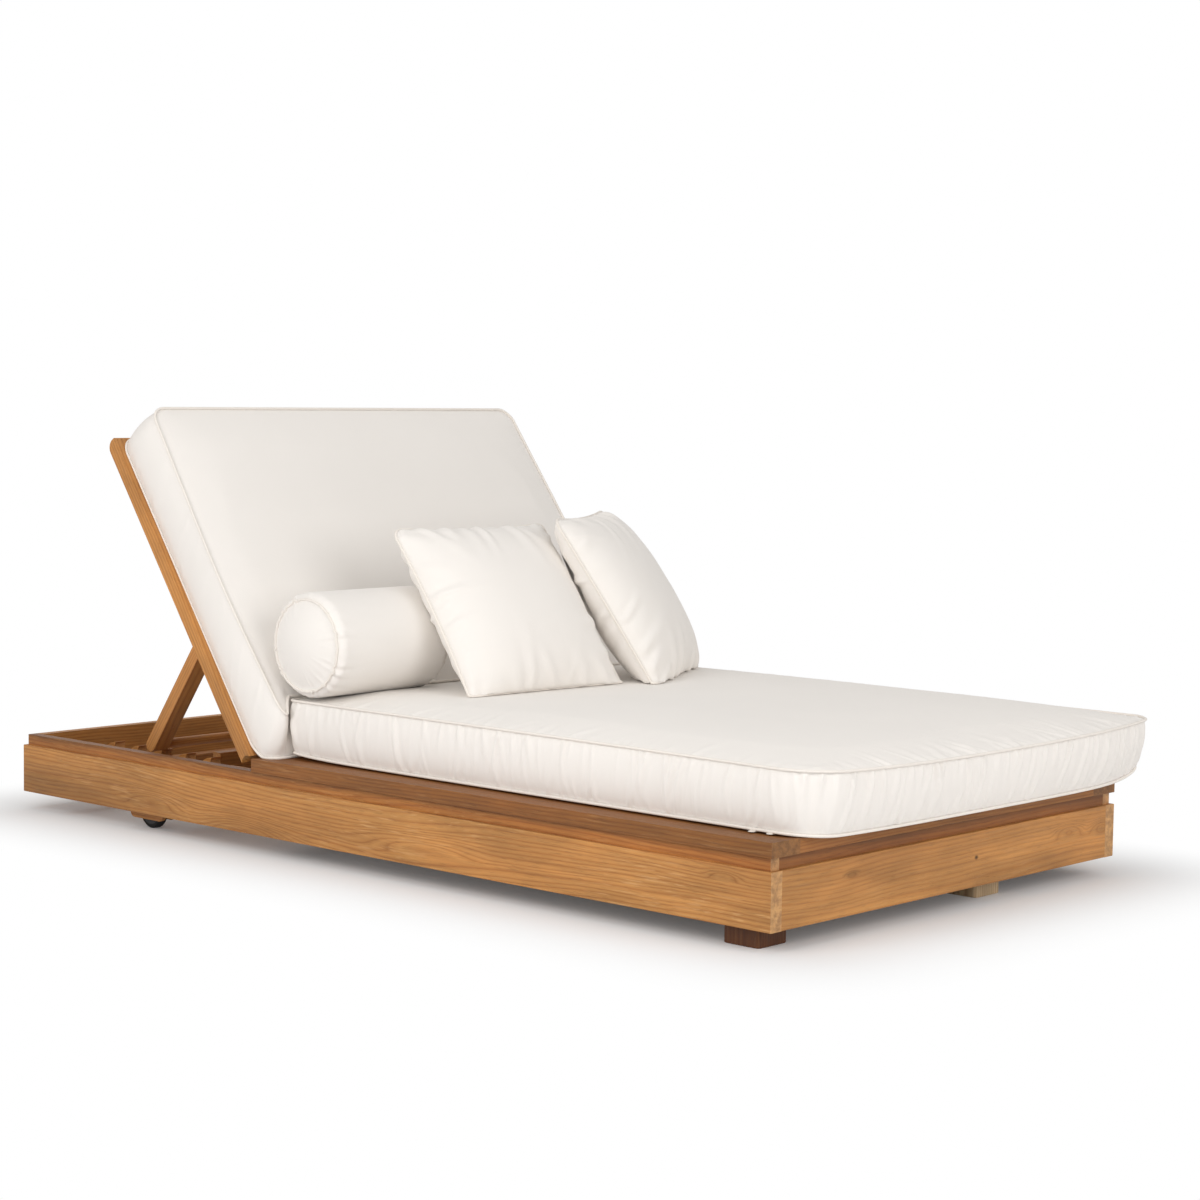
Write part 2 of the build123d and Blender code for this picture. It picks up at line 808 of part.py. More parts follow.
def back_cushion():
    """Leans on the back frame; its lower end is pressed flat against the seat cushion."""
    underside = frame_front + cushion_gap
    front = underside + back_cushion_thickness
    top = back_length - back_cushion_top_inset
    cut_y = seat_rear + cushion_gap - hinge_y
    floor_z = seat_bottom - hinge_z
    front_low_along = (cut_y + front * sin(recline)) / cos(recline)
    foot_z = front_low_along * sin(recline) + front * cos(recline)
    knuckle_clear = knuckle_radius + cushion_gap
    start_y = back_cushion_start * cos(recline) - underside * sin(recline)
    start_z = back_cushion_start * sin(recline) + underside * cos(recline)
    top_plane = Plane(origin=side_plane.origin, x_dir=(1, 0, 0), z_dir=side_plane.x_dir)
    reach = base_length
    with BuildPart() as cushion:
        with BuildSketch(Plane.YZ):
            with Locations((hinge_y, hinge_z)):
                add(back_cushion_side(start_y, start_z, knuckle_clear, floor_z, cut_y, foot_z, top, front))
        extrude(amount=reach, both=True)
        with BuildSketch(top_plane):
            add(back_cushion_section(underside, front))
        extrude(amount=reach, both=True, mode=Mode.INTERSECT)
        with BuildSketch(back_plane.offset(-reach)):
            plan_center = (back_cushion_middle, 0)
            add(drawn_in_outline(plan_center, back_cushion_width, 2 * top, back_cushion_corner))
        extrude(amount=2 * reach, mode=Mode.INTERSECT)
    return cushion.part


def back_cushion_side(start_y, start_z, clear, floor_z, cut_y, foot_z, top, front):
    """Side outline about the hinge line, as it leans at rest."""
    along = Vector(cos(recline), sin(recline))
    normal = Vector(-sin(recline), cos(recline))
    underside = frame_front + cushion_gap
    bulge = cushion_side_bulge
    top_back = along * (top - bulge) + normal * underside
    top_middle = along * top + normal * (underside + front) / 2
    top_front = along * (top - bulge) + normal * front
    foot_front = Vector(cut_y, foot_z)
    front_middle = (top_front + foot_front) / 2 + normal * cushion_crown
    with BuildSketch(mode=Mode.PRIVATE) as outline:
        with BuildLine():
            Line((start_y, start_z), top_back)
            ThreePointArc(top_back, top_middle, top_front)
            ThreePointArc(top_front, front_middle, foot_front)
            Polyline(
                foot_front,
                (cut_y, floor_z),
                (-2 * clear, floor_z),
                (-clear, clear),
                (start_y, start_z + clear),
                (start_y, start_z),
            )
        make_face()
    return outline.sketch


def back_cushion_section(underside, front):
    """Section across the back cushion, with the crown on its front."""
    thickness = front - underside
    with BuildSketch(mode=Mode.PRIVATE) as section:
        add(boxed_section(back_cushion_middle, back_cushion_width, underside, thickness))
    return mirror(section.sketch, about=Plane.XZ)


save(back_cushion(), "back_cushion")


# Bolster: a round cushion that lies on the seat against the back cushion
def seat_top_at(y):
    """Height of the crowned seat cushion at one place along its length."""
    center_y = (seat_foot + seat_rear) / 2
    share = (y - center_y) / (seat_cushion_length / 2)
    return seat_edge_top + cushion_crown * (1 - share**2)


back_front = frame_front + cushion_gap + back_cushion_thickness
front_foot_y = hinge_y - back_front * sin(recline)
front_foot_z = hinge_z + back_front * cos(recline)
bolster_z = seat_top_at(seat_rear - bolster_rest_share * bolster_radius) + cushion_gap + bolster_radius
bolster_reach = bolster_radius + bolster_crown_share * cushion_crown + bolster_back_gap
bolster_y = front_foot_y + ((bolster_z - front_foot_z) * cos(recline) - bolster_reach) / sin(recline)


bolster_start = -half_width + bolster_left_inset
bolster_end = bolster_start + bolster_length


def bolster():
    """A roll with pointed ends and a sloped shoulder at each seam."""
    cap_radius = bolster_radius - bolster_shoulder
    with BuildPart() as roll:
        with BuildSketch(Plane(origin=(0, bolster_y, bolster_z))):
            with BuildLine():
                start_cap = (bolster_start + bolster_cap_crown, cap_radius)
                start_seam = (start_cap[0] + bolster_shoulder, bolster_radius)
                end_cap = (bolster_end - bolster_cap_crown, cap_radius)
                end_seam = (end_cap[0] - bolster_shoulder, bolster_radius)
                Polyline(
                    (bolster_start, 0),
                    start_cap,
                    start_seam,
                    end_seam,
                    end_cap,
                    (bolster_end, 0),
                    close=True,
                )
            make_face()
        revolve(axis=Axis((0, bolster_y, bolster_z), (1, 0, 0)))
    return roll.part


save(bolster(), "bolster")


# Throw pillows: two panels sewn at the edge, full in the middle, sides drawn in
def lens(half_span):
    """Pillow section: full in the middle and thin at both edges."""
    with BuildSketch(mode=Mode.PRIVATE) as section:
        with BuildLine():
            ThreePointArc(
                (-half_span, -pillow_edge_half), (0, -pillow_half_thickness), (half_span, -pillow_edge_half)
            )
            Line((half_span, -pillow_edge_half), (half_span, pillow_edge_half))
            ThreePointArc(
                (half_span, pillow_edge_half), (0, pillow_half_thickness), (-half_span, pillow_edge_half)
            )
            Line((-half_span, pillow_edge_half), (-half_span, -pillow_edge_half))
        make_face()
    return section.sketch


def pillow(place, turn_degrees, lean_degrees):
    turn = radians(turn_degrees)
    lean = radians(lean_degrees)
    half = pillow_size / 2
    across = Vector(cos(turn), sin(turn), 0)
    upward = Vector(-sin(turn) * sin(lean), cos(turn) * sin(lean), cos(lean))
    lower_corner_y = place[1] - half * abs(sin(turn))
    base_z = seat_top_at(lower_corner_y) + cushion_gap + pillow_edge_half * sin(lean)
    middle = Vector(place[0], place[1], base_z) + upward * half
    face_plane = Plane(origin=middle, x_dir=across, z_dir=across.cross(upward))
    end_plane = Plane(origin=middle, x_dir=across, z_dir=upward)
    side_view_plane = Plane(origin=middle, x_dir=upward, z_dir=across)
    with BuildPart() as cushion:
        with BuildSketch(face_plane):
            with BuildLine():
                ThreePointArc((-half, -half), (0, -half + pillow_draw_in), (half, -half))
                ThreePointArc((half, -half), (half - pillow_draw_in, 0), (half, half))
                ThreePointArc((half, half), (0, half - pillow_draw_in), (-half, half))
                ThreePointArc((-half, half), (-half + pillow_draw_in, 0), (-half, -half))
            make_face()
        extrude(amount=pillow_size, both=True)
        with BuildSketch(end_plane):
            add(lens(half))
        extrude(amount=pillow_size, both=True, mode=Mode.INTERSECT)
        with BuildSketch(side_view_plane):
            add(lens(half))
        extrude(amount=pillow_size, both=True, mode=Mode.INTERSECT)
    return cushion.part


pillow_y = seat_rear - pillow_from_seat_rear
left_pillow_place = (bolster_end + left_pillow_from_bolster, pillow_y)
right_pillow_place = (half_width - right_pillow_inset, pillow_y)
left_pillow = pillow(left_pillow_place, left_pillow_turn_degrees, left_pillow_lean_degrees)
save(left_pillow, "throw_pillow_left")
right_pillow = pillow(right_pillow_place, right_pillow_turn_degrees, right_pillow_lean_degrees)
save(right_pillow, "throw_pillow_right")

prop_angle = degrees(atan2(pivot_z - bar_z, bar_y - pivot_y))
print(f"hinge line y {hinge_y:.2f} z {hinge_z:.2f}")
print(f"prop pivot y {pivot_y:.2f} z {pivot_z:.2f}, bar y {bar_y:.2f} z {bar_z:.2f}")
print(f"prop leans {prop_angle:.2f} degrees, wheel axis y {wheel_y:.2f} z {wheel_z:.2f}")
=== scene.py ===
import math

import bpy
import numpy as np
from mathutils import Euler, Matrix, Vector


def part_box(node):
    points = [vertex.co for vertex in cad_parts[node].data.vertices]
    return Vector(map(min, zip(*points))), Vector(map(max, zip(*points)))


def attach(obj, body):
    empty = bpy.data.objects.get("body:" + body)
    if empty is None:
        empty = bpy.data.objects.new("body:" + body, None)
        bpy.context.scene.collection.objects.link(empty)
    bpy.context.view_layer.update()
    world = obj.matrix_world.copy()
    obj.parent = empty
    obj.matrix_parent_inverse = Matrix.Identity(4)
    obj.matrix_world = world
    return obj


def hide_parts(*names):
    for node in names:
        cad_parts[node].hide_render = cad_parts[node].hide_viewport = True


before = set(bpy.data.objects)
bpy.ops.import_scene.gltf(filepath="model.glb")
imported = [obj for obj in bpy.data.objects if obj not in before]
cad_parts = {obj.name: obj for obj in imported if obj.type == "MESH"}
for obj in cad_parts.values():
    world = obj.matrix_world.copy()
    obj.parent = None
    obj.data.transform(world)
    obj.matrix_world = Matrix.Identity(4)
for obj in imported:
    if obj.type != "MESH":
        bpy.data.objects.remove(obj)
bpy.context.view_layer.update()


# The studio: a pale floor whose edge fades into a white surround, and broad soft lamps.
# The camera stands low beyond the near foot corner, where the photograph was taken from.
camera_turn = math.radians(-47.67)
camera_tilt = math.radians(4.65)
camera_roll = math.radians(0.81)
camera_place = (-3.968, -3.7365, 0.945)
photo_pixels = 1200
focal_pixels = 2639.0
floor_half = 40.0
floor_fade = (0.0, 0.40)
floor_colour = (0.82, 0.82, 0.825, 1)
floor_glow = 0.06
world_strength = 0.54
footprint = (0.50, 1.00, 0.0)
lamps = {        # the place, size and power of each
    "lamp_side": ((-3.4, -0.6, 1.7), 2.6, 58.0),
    "lamp_foot": ((-0.4, -4.2, 1.8), 2.6, 60.0),
    "lamp_above": ((0.6, 0.6, 3.2), 3.0, 8.0),
}


def put(tree, kind, values=(), settings=None, **sockets):
    """Add one node: values fill its inputs in order, and sockets fill them by name."""
    made = tree.nodes.new(kind)
    for key, setting in (settings or {}).items():
        setattr(made, key, setting)
    filled = list(enumerate(values)) + [(key.replace("_", " "), value) for key, value in sockets.items()]
    for key, value in filled:
        if value is None:
            continue
        if isinstance(value, bpy.types.NodeSocket):
            tree.links.new(value, made.inputs[key])
        else:
            made.inputs[key].default_value = value
    return made


def vector_maths(tree, operation, *values):
    """Result of a vector maths node: a number for a length or a dot product, and otherwise a vector."""
    result = "Value" if operation in ("LENGTH", "DOT_PRODUCT") else "Vector"
    return put(tree, "ShaderNodeVectorMath", values, {"operation": operation}).outputs[result]


def maths(tree, operation, *values):
    """Result of a maths node."""
    return put(tree, "ShaderNodeMath", values, {"operation": operation}).outputs[0]


def mapped(tree, value, start, end, low, high, kind="LINEAR"):
    """Run from low to high while the value runs from start to end, and stay there beyond."""
    return put(tree, "ShaderNodeMapRange", (value, start, end, low, high), {"interpolation_type": kind}).outputs[0]


def noise(tree, place, stretch, detail, roughness=0.5, scale=1.0, output=0):
    """Noise over a place, which a stretch first draws out along its axes."""
    if stretch:
        place = put(tree, "ShaderNodeMapping", Vector=place, Scale=stretch).outputs[0]
    return put(tree, "ShaderNodeTexNoise", Vector=place, Scale=scale, Detail=detail,
               Roughness=roughness).outputs[output]


def mixed(tree, factor, first, second):
    """Mix of two colours, from the first to the second with the factor."""
    return put(tree, "ShaderNodeMix", (factor, *(None,) * 5, first, second), {"data_type": "RGBA"}).outputs[2]


def tinted(tree, colour, *factors):
    """A colour multiplied by each factor in turn."""
    for factor in factors:
        colour = vector_maths(tree, "MULTIPLY", colour, factor)
    return colour


def bare_material(name):
    """A new material, its emptied node tree and the outputs of a texture place in it."""
    material = bpy.data.materials.new(name)
    material.use_nodes = True
    material.node_tree.nodes.clear()
    return material, material.node_tree, put(material.node_tree, "ShaderNodeTexCoord").outputs


def surfaced(tree, colour, roughness, height, strength, distance, **more):
    """Finish a material with one surface, whose relief comes from a height."""
    relief = put(tree, "ShaderNodeBump", Strength=strength, Distance=distance, Height=height).outputs[0]
    surface = put(tree, "ShaderNodeBsdfPrincipled", Base_Color=colour, Roughness=roughness, Normal=relief, **more)
    put(tree, "ShaderNodeOutputMaterial", (surface.outputs[0],))


def placed(name, data, material=None):
    """A new object in the scene."""
    made = bpy.data.objects.new(name, data)
    bpy.context.scene.collection.objects.link(made)
    if material:
        data.materials.append(material)
    return made


def seen_directly(tree):
    """A factor that is 1 for camera, mirror and glass rays, and 0 for the rays that light the object."""
    path = put(tree, "ShaderNodeLightPath").outputs
    seen = maths(tree, "MAXIMUM", path["Is Camera Ray"], path["Is Glossy Ray"])
    return maths(tree, "MAXIMUM", seen, path["Is Transmission Ray"])


back = Vector((math.sin(camera_turn) * math.cos(camera_tilt),
               -math.cos(camera_turn) * math.cos(camera_tilt),
               math.sin(camera_tilt)))
level_right = (-back).cross(Vector((0, 0, 1))).normalized()
level_up = level_right.cross(-back)
right = level_right * math.cos(camera_roll) + level_up * math.sin(camera_roll)
up = -level_right * math.sin(camera_roll) + level_up * math.cos(camera_roll)
camera_data = bpy.data.cameras.new("camera")
camera_data.sensor_width = 36.0
camera_data.lens = focal_pixels / photo_pixels * camera_data.sensor_width
camera_data.clip_end = 200.0
camera = placed("camera", camera_data)
camera.matrix_world = Matrix.Translation(camera_place) @ Matrix((right, up, back)).transposed().to_4x4()
bpy.context.scene.camera = camera
bpy.context.scene.view_settings.view_transform = "Standard"

floor_mesh = bpy.data.meshes.new("floor")
floor_corners = [(x * floor_half, y * floor_half, 0) for x, y in ((-1, -1), (1, -1), (1, 1), (-1, 1))]
floor_mesh.from_pydata(floor_corners, [], [(0, 1, 2, 3)])
floor = placed("floor", floor_mesh)
floor_paint, tree, texture = bare_material("floor_paint")
beyond = vector_maths(tree, "SUBTRACT", vector_maths(tree, "ABSOLUTE", texture["Object"]), footprint)
distance = vector_maths(tree, "LENGTH", vector_maths(tree, "MAXIMUM", beyond, (0, 0, 0)))
fade = mapped(tree, distance, *floor_fade, 0.0, 1.0, "SMOOTHSTEP")
matt = put(tree, "ShaderNodeBsdfDiffuse", Color=floor_colour).outputs[0]
glow = put(tree, "ShaderNodeEmission", Color=(0.99, 1, 1, 1), Strength=floor_glow).outputs[0]
lit = put(tree, "ShaderNodeAddShader", (matt, glow)).outputs[0]
white = put(tree, "ShaderNodeEmission", Color=(1, 1, 1, 1), Strength=1.0).outputs[0]
faded = put(tree, "ShaderNodeMixShader", (fade, lit, white)).outputs[0]
shown = put(tree, "ShaderNodeMixShader", (seen_directly(tree), matt, faded)).outputs[0]
put(tree, "ShaderNodeOutputMaterial", (shown,))
floor_mesh.materials.append(floor_paint)

surround = bpy.data.worlds.new("surround")
surround.use_nodes = True
bpy.context.scene.world = surround
tree = surround.node_tree
tree.nodes.clear()
even = put(tree, "ShaderNodeBackground", Color=(1.0, 0.995, 0.985, 1), Strength=world_strength).outputs[0]
white = put(tree, "ShaderNodeBackground", Color=(1, 1, 1, 1), Strength=1.0).outputs[0]
shown = put(tree, "ShaderNodeMixShader", (seen_directly(tree), even, white)).outputs[0]
put(tree, "ShaderNodeOutputWorld", (shown,))

aim = Vector((0.0, -0.1, 0.3))
for lamp_name, (spot, size, power) in lamps.items():
    light = bpy.data.lights.new(lamp_name, "AREA")
    light.size, light.energy = size, power
    lamp = placed(lamp_name, light)
    lamp.location = spot
    lamp.rotation_euler = (aim - Vector(spot)).to_track_quat("-Z", "Y").to_euler()


# The base is four boards of oiled teak with a rabbet along the top.
# Each board is cut from its own log: growth rings about a pith line, bent by knots and slow sway,
# show as flame figure on the faces and as arcs on the end grain.
along_x = (0.0, 0.0, 0.0)
along_y = (0.0, 0.0, math.radians(-90))
along_z = (0.0, math.radians(90), 0.0)
both_sides = ("left", "right")
rabbet_height = 0.023
rabbet_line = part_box("side_board_left")[1][2] - rabbet_height


def linear(red, green, blue):
    """The linear colour of a display colour in 0 to 255: ((c + 0.055) / 1.055) ** 2.4, and c / 12.92 when dark."""
    shares = [value / 255 for value in (red, green, blue)]
    return tuple(s / 12.92 if s < 0.04045 else ((s + 0.055) / 1.055) ** 2.4 for s in shares) + (1.0,)


def oiled_teak(name, node, grain, seed, tone=(1.0, 1.0, 1.0), ring=0.0065, sway=0.030, pith=(0.03, -0.10),
               contrast=1.0, worn=0.12, strip=None, marks=()):
    """Teak with its grain along one direction.

    In the board's own axes the distance from the pith line, warped by slow noise, is divided by the ring
    width, and the rest of that division runs each ring from pale early wood to a dark late line. Each mark
    is a place, a reach, a height that bends the rings round it into ovals, and the darkness of its middle.
    The rabbet tone is that of the wood above the rabbet line: partly its own redder, less weathered wood and
    partly painted shade of the recess, and towards its top it is darkened by painted shade under the deck rail.
    """
    seed_step = 3.17
    low, high = [Vector(corner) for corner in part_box(node)]
    turn = Euler(grain, "XYZ").to_matrix()
    offset = Vector((seed * seed_step, pith[0], pith[1])) - turn @ ((low + high) / 2)
    material, tree, texture = bare_material(name)
    place = texture["Object"]
    board = put(tree, "ShaderNodeMapping", Vector=place, Rotation=grain, Location=offset).outputs[0]

    # Distance from the pith line, swayed along the board and raised at the marks.
    bend = noise(tree, board, (1.1, 4.0, 4.0), 2.5, 0.45, output="Color")
    centred = vector_maths(tree, "SUBTRACT", bend, (0.5, 0.5, 0.5))
    swayed = vector_maths(tree, "MULTIPLY_ADD", centred, (0.0, 2.0 * sway, 2.0 * sway), board)
    radius = vector_maths(tree, "LENGTH", vector_maths(tree, "MULTIPLY", swayed, (0.0, 1.0, 1.0)))
    shades = []
    for spot, reach, height, dark in marks:
        share = vector_maths(tree, "DIVIDE", vector_maths(tree, "SUBTRACT", place, spot), reach)
        far = vector_maths(tree, "LENGTH", vector_maths(tree, "MULTIPLY_ADD", centred, (0.9, 0.9, 0.9), share))
        radius = maths(tree, "ADD", radius, mapped(tree, far, 0.0, 1.0, height, 0.0, "SMOOTHSTEP"))
        shades.append(mapped(tree, far, 0.35, 1.0, 1.0 - dark, 1.0))
    uneven = put(tree, "ShaderNodeTexNoise", (), {"noise_dimensions": "1D"}, W=radius, Scale=38.0, Detail=1.0)
    wide = maths(tree, "MULTIPLY_ADD", uneven.outputs[0], 1.6 * ring, radius)
    within = maths(tree, "FRACT", maths(tree, "MULTIPLY", wide, 1.0 / ring))
    rings = put(tree, "ShaderNodeValToRGB", (within,))
    stops = rings.color_ramp.elements
    stops[0].color, stops[1].color = linear(158, 101, 51), linear(152, 95, 46)
    for position, colour in ((0.10, (180, 124, 66)), (0.45, (194, 140, 79)), (0.80, (180, 124, 67)),
                             (0.94, (162, 105, 54))):
        stops.new(position).color = linear(*colour)
    colour = mixed(tree, min(1.0, 0.62 * contrast), linear(183, 127, 69), rings.outputs[0])

    # Patches, bands, fibres and pores darken it or make it paler, and raised fibres catch the light.
    patches = noise(tree, board, (2.2, 8.0, 8.0), 3.0, 0.6)
    patch_hue = noise(tree, board, (2.2, 8.0, 8.0), 1.0, scale=0.8)
    warmth = mixed(tree, patch_hue, (1.06, 0.97, 0.88, 1), (0.95, 1.02, 1.06, 1))
    bands = noise(tree, board, (2.2, 85.0, 85.0), 2.0, 0.55)
    fibres = noise(tree, board, (7.0, 300.0, 300.0), 3.0, 0.65)
    pores = noise(tree, board, (34.0, 780.0, 780.0), 1.0)
    open_pores = mapped(tree, pores, 0.58, 0.70, 0.0, 1.0)
    colour = tinted(tree, colour, mapped(tree, patches, 0.25, 0.75, 0.58, 1.36), warmth, tone,
                    mapped(tree, bands, 0.25, 0.75, 0.93, 1.06), mapped(tree, fibres, 0.25, 0.75, 0.87, 1.11),
                    mapped(tree, open_pores, 0.0, 1.0, 1.0, 0.80), *shades)
    frays = noise(tree, swayed, (13.0, 210.0, 210.0), 2.0, 0.6)
    raised = mapped(tree, frays, 0.56, 0.70, 0.0, worn)
    dry = mapped(tree, patch_hue, 0.42, 0.60, 0.0, 1.0)
    colour = mixed(tree, maths(tree, "MULTIPLY", raised, dry), colour, linear(218, 172, 116))
    # Above the rabbet line the wood takes the rabbet tone, which is partly painted shade of the recess under the
    # deck rail.
    if strip:
        height = put(tree, "ShaderNodeSeparateXYZ", (place,)).outputs[2]
        above = maths(tree, "GREATER_THAN", height, rabbet_line)
        # Painted shade under the deck rail: the strip is darkened towards its top.
        painted_shade_under_rail = mapped(tree, height, rabbet_line + 0.010, rabbet_line + 0.022, 1.0, 0.60)
        colour = tinted(tree, colour, mixed(tree, above, (1, 1, 1, 1), strip + (1,)), painted_shade_under_rail)

    # End grain, where the surface faces along the board, is bare, pale and streaked by weather.
    facing = vector_maths(tree, "DOT_PRODUCT", texture["Normal"], turn.transposed() @ Vector((1, 0, 0)))
    is_end = mapped(tree, maths(tree, "ABSOLUTE", facing), 0.80, 0.97, 0.0, 1.0)
    weather = noise(tree, place, None, 4.0, 0.7, scale=60.0)
    streaks = mixed(tree, mapped(tree, weather, 0.40, 0.62, 0.0, 1.0), (1.12, 1.10, 1.06, 1), (0.70, 0.66, 0.66, 1))
    pale_end = tuple(c * t for c, t in zip(linear(198, 158, 110), tone)) + (1,)
    end_colour = tinted(tree, mixed(tree, 0.6, colour, pale_end), streaks)
    depth = maths(tree, "MULTIPLY_ADD", open_pores, -1.2, fibres)
    surfaced(tree, mixed(tree, is_end, colour, end_colour), mapped(tree, fibres, 0.3, 0.7, 0.46, 0.62), depth,
             0.35, 0.0006, Specular_IOR_Level=0.35)
    return material


def finish_node(node, material):
    """Give a carried-over piece its finish."""
    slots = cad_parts[node].data.materials
    slots.clear()
    slots.append(material)


def finish_teak(nodes, grain, seed, **look):
    """Oiled teak on some pieces, each cut from its own log."""
    for order, node in enumerate(nodes):
        finish_node(node, oiled_teak(f"teak_{node}", node, grain, seed + order, **look))


side_marks = (((-0.56, -0.20, 0.085), (0.2, 0.24, 0.035), 0.030, 0.0),
              ((-0.56, 0.62, 0.07), (0.2, 0.16, 0.030), 0.026, 0.10),
              ((-0.56, -0.93, 0.125), (0.2, 0.06, 0.016), 0.018, 0.12),
              ((-0.56, 1.02, 0.040), (0.3, 0.55, 0.075), 0.0, 0.40),
              ((-0.56, 0.30, 0.050), (0.2, 0.20, 0.040), 0.034, 0.16))
foot_marks = (((0.36, -1.04, 0.105), (0.075, 0.2, 0.024), 0.026, 0.16),
              ((0.475, -1.04, 0.100), (0.060, 0.2, 0.022), 0.026, 0.26),
              ((-0.345, -1.04, 0.112), (0.030, 0.2, 0.010), 0.012, 0.30),
              ((0.036, -1.0315, 0.0925), (0.0075, 0.2, 0.0055), 0.004, 0.80))
# On the side boards and the foot board the rabbet tone is partly the wood's own redder tone and partly painted shade
# of the recess.
finish_teak([f"side_board_{side}" for side in both_sides], along_y, 1.0, pith=(0.02, -0.17), ring=0.009, sway=0.060,
            contrast=1.1, worn=0.45, strip=(0.80, 0.66, 0.52), marks=side_marks)
finish_teak(["foot_board"], along_x, 4.0, pith=(0.02, -0.16), ring=0.009, sway=0.045, contrast=0.7,
            strip=(0.62, 0.50, 0.40), marks=foot_marks)
finish_teak(["head_board"], along_x, 5.0)


# Foot blocks stand under the foot end, with upright grain: dark-stained at both sides, and the middle one
# pale grey.
stained = (0.22, 0.15, 0.11)
block_tones = {"left": stained, "middle": (1.00, 1.60, 3.40), "right": stained}
for order, (side, tone) in enumerate(block_tones.items()):
    block = oiled_teak(f"stained_block_{side}", f"foot_block_{side}", along_z, 7.0 + order, tone=tone)
    finish_node(f"foot_block_{side}", block)


# Bearers, beams and the deck: sawn and planed teak strips, screwed from below and oiled.
# The side rails run the full length, so that their end grain shows at the foot corners.
cross_pieces = ("bearer_foot", "bearer_middle", "bearer_deck_end", "bearer_rack_middle", "bearer_head",
                "deck_foot_rail", "deck_rear_rail", "deck_slats", "rack_cross_rail")
# The cross pieces are toned darker and browner: on the deck's foot rail this is partly its wood and partly painted
# shade under the seat cushion.
finish_teak(cross_pieces, along_x, 9.0, tone=(0.68, 0.60, 0.51))
finish_teak(["deck_beam_left", "deck_beam_middle", "deck_beam_right"], along_y, 20.0)
# The side rails are toned much darker: partly their browner wood and partly painted shade under the overhanging seat
# cushion.
finish_teak([f"deck_side_rail_{side}" for side in both_sides], along_y, 24.0, tone=(0.46, 0.37, 0.27), ring=0.006,
            sway=0.02)


# Racks: teak bars with hooked teeth, into which the bar of the prop drops.
# They are cut with a jigsaw and sanded, and stand on the bearers.
finish_teak([f"rack_{side}" for side in both_sides], along_y, 28.0, ring=0.007, sway=0.02)


# Wheels: black rubber tyres pressed on plastic hubs, turning on steel axles in slotted teak blocks.
# Both black mouldings are slightly dusty, and the steel is brushed along X.
def moulded_black(name, colour, roughness, grain_scale):
    """Black moulding: fine noise breaks up the gloss and raises a slight texture."""
    material, tree, texture = bare_material(name)
    speckle = noise(tree, texture["Object"], None, 4.0, scale=grain_scale)
    dusty = tinted(tree, colour, mapped(tree, speckle, 0.35, 0.75, 0.8, 1.9))
    dull = mapped(tree, speckle, 0.3, 0.7, roughness - 0.08, roughness + 0.08)
    surfaced(tree, dusty, dull, speckle, 0.3, 0.0003, Specular_IOR_Level=0.2)
    return material


def brushed_steel(name):
    """Stainless steel with a fine brushed line along X: noise stretched along that line."""
    material, tree, texture = bare_material(name)
    brushed = noise(tree, texture["Object"], (40.0, 900.0, 900.0), 2.0)
    shade = tinted(tree, (0.60, 0.585, 0.56), mapped(tree, brushed, 0.3, 0.7, 0.85, 1.1))
    surfaced(tree, shade, mapped(tree, brushed, 0.3, 0.7, 0.28, 0.42), brushed, 0.2, 0.0001, Metallic=1.0)
    return material


tyre_rubber = moulded_black("tyre_rubber", (0.009, 0.009, 0.009), 0.70, 700.0)
hub_plastic = moulded_black("hub_plastic", (0.028, 0.028, 0.030), 0.42, 300.0)
axle_steel = brushed_steel("axle_steel")
finish_teak([f"wheel_bracket_{side}" for side in both_sides], along_y, 31.0, tone=(0.80, 0.75, 0.68))
for side in both_sides:
    finish_node(f"wheel_tyre_{side}", tyre_rubber)
    finish_node(f"wheel_hub_{side}", hub_plastic)
    finish_node(f"wheel_axle_{side}", axle_steel)


# The back frame: two stiles with the same section as the deck rails, rails, slats and battens,
# all in teak that runs up the slope or straight across.
recline = math.radians(54.9)
up_slope = (-recline, 0.0, math.radians(-90))
finish_teak(["back_stile_left", "back_stile_right", "back_batten_left", "back_batten_middle", "back_batten_right"],
            up_slope, 34.0, tone=(1.04, 1.05, 1.04), ring=0.006, sway=0.02)
finish_teak(["back_bottom_rail", "back_top_rail", "back_slats"], along_x, 40.0)


# The prop: two teak legs on steel studs, joined by a round teak bar.
# Its brackets, washers and nuts are brushed steel, and so are the butt hinges of the back.
prop_slope = math.radians(54.57)
down_slope = (prop_slope, 0.0, math.radians(-90))
finish_teak([f"prop_leg_{side}" for side in both_sides], down_slope, 44.0, tone=(0.96, 0.92, 0.90), ring=0.006,
            sway=0.02)
finish_teak(["prop_bar"], along_x, 47.0, ring=0.005, pith=(0.01, 0.01))
fitting_steel = brushed_steel("fitting_steel")
for node in ("prop_bracket_left", "prop_bracket_right", "prop_washers", "prop_nuts", "hinge_leaves_deck",
             "hinge_leaves_back", "hinge_pins"):
    finish_node(node, fitting_steel)


# The seat cushion: a foam slab in a boxed cover of off-white cloth, sewn from a top and a bottom panel
# and a band between them, with a cord sewn into both seams. The cloth is puffed up by a cloth simulation,
# and gathers run across the band and into the panels where the seam draws the cloth in.
seat_sides = (-0.512, 0.573)
seat_foot, seat_rear = -1.070, 0.2495
seat_low, seat_seam = 0.1940, 0.3085
seat_corners = (0.078, 0.040, 0.022, 0.030)
seat_crown = 0.019
cord_radius = 0.0028
cloth_colour = (0.860, 0.818, 0.772)
seat_foot_bow, seat_lower_bow = 0.030, 0.022
seat_foot_droop, seat_near_droop = 0.0085, 0.0015
seat_lower_inset, seat_lower_side, seat_lower_far = 0.012, 0.006, 0.012


def unit(vectors):
    """Rows of vectors, each made one long."""
    return vectors / np.linalg.norm(vectors, axis=1)[:, None]


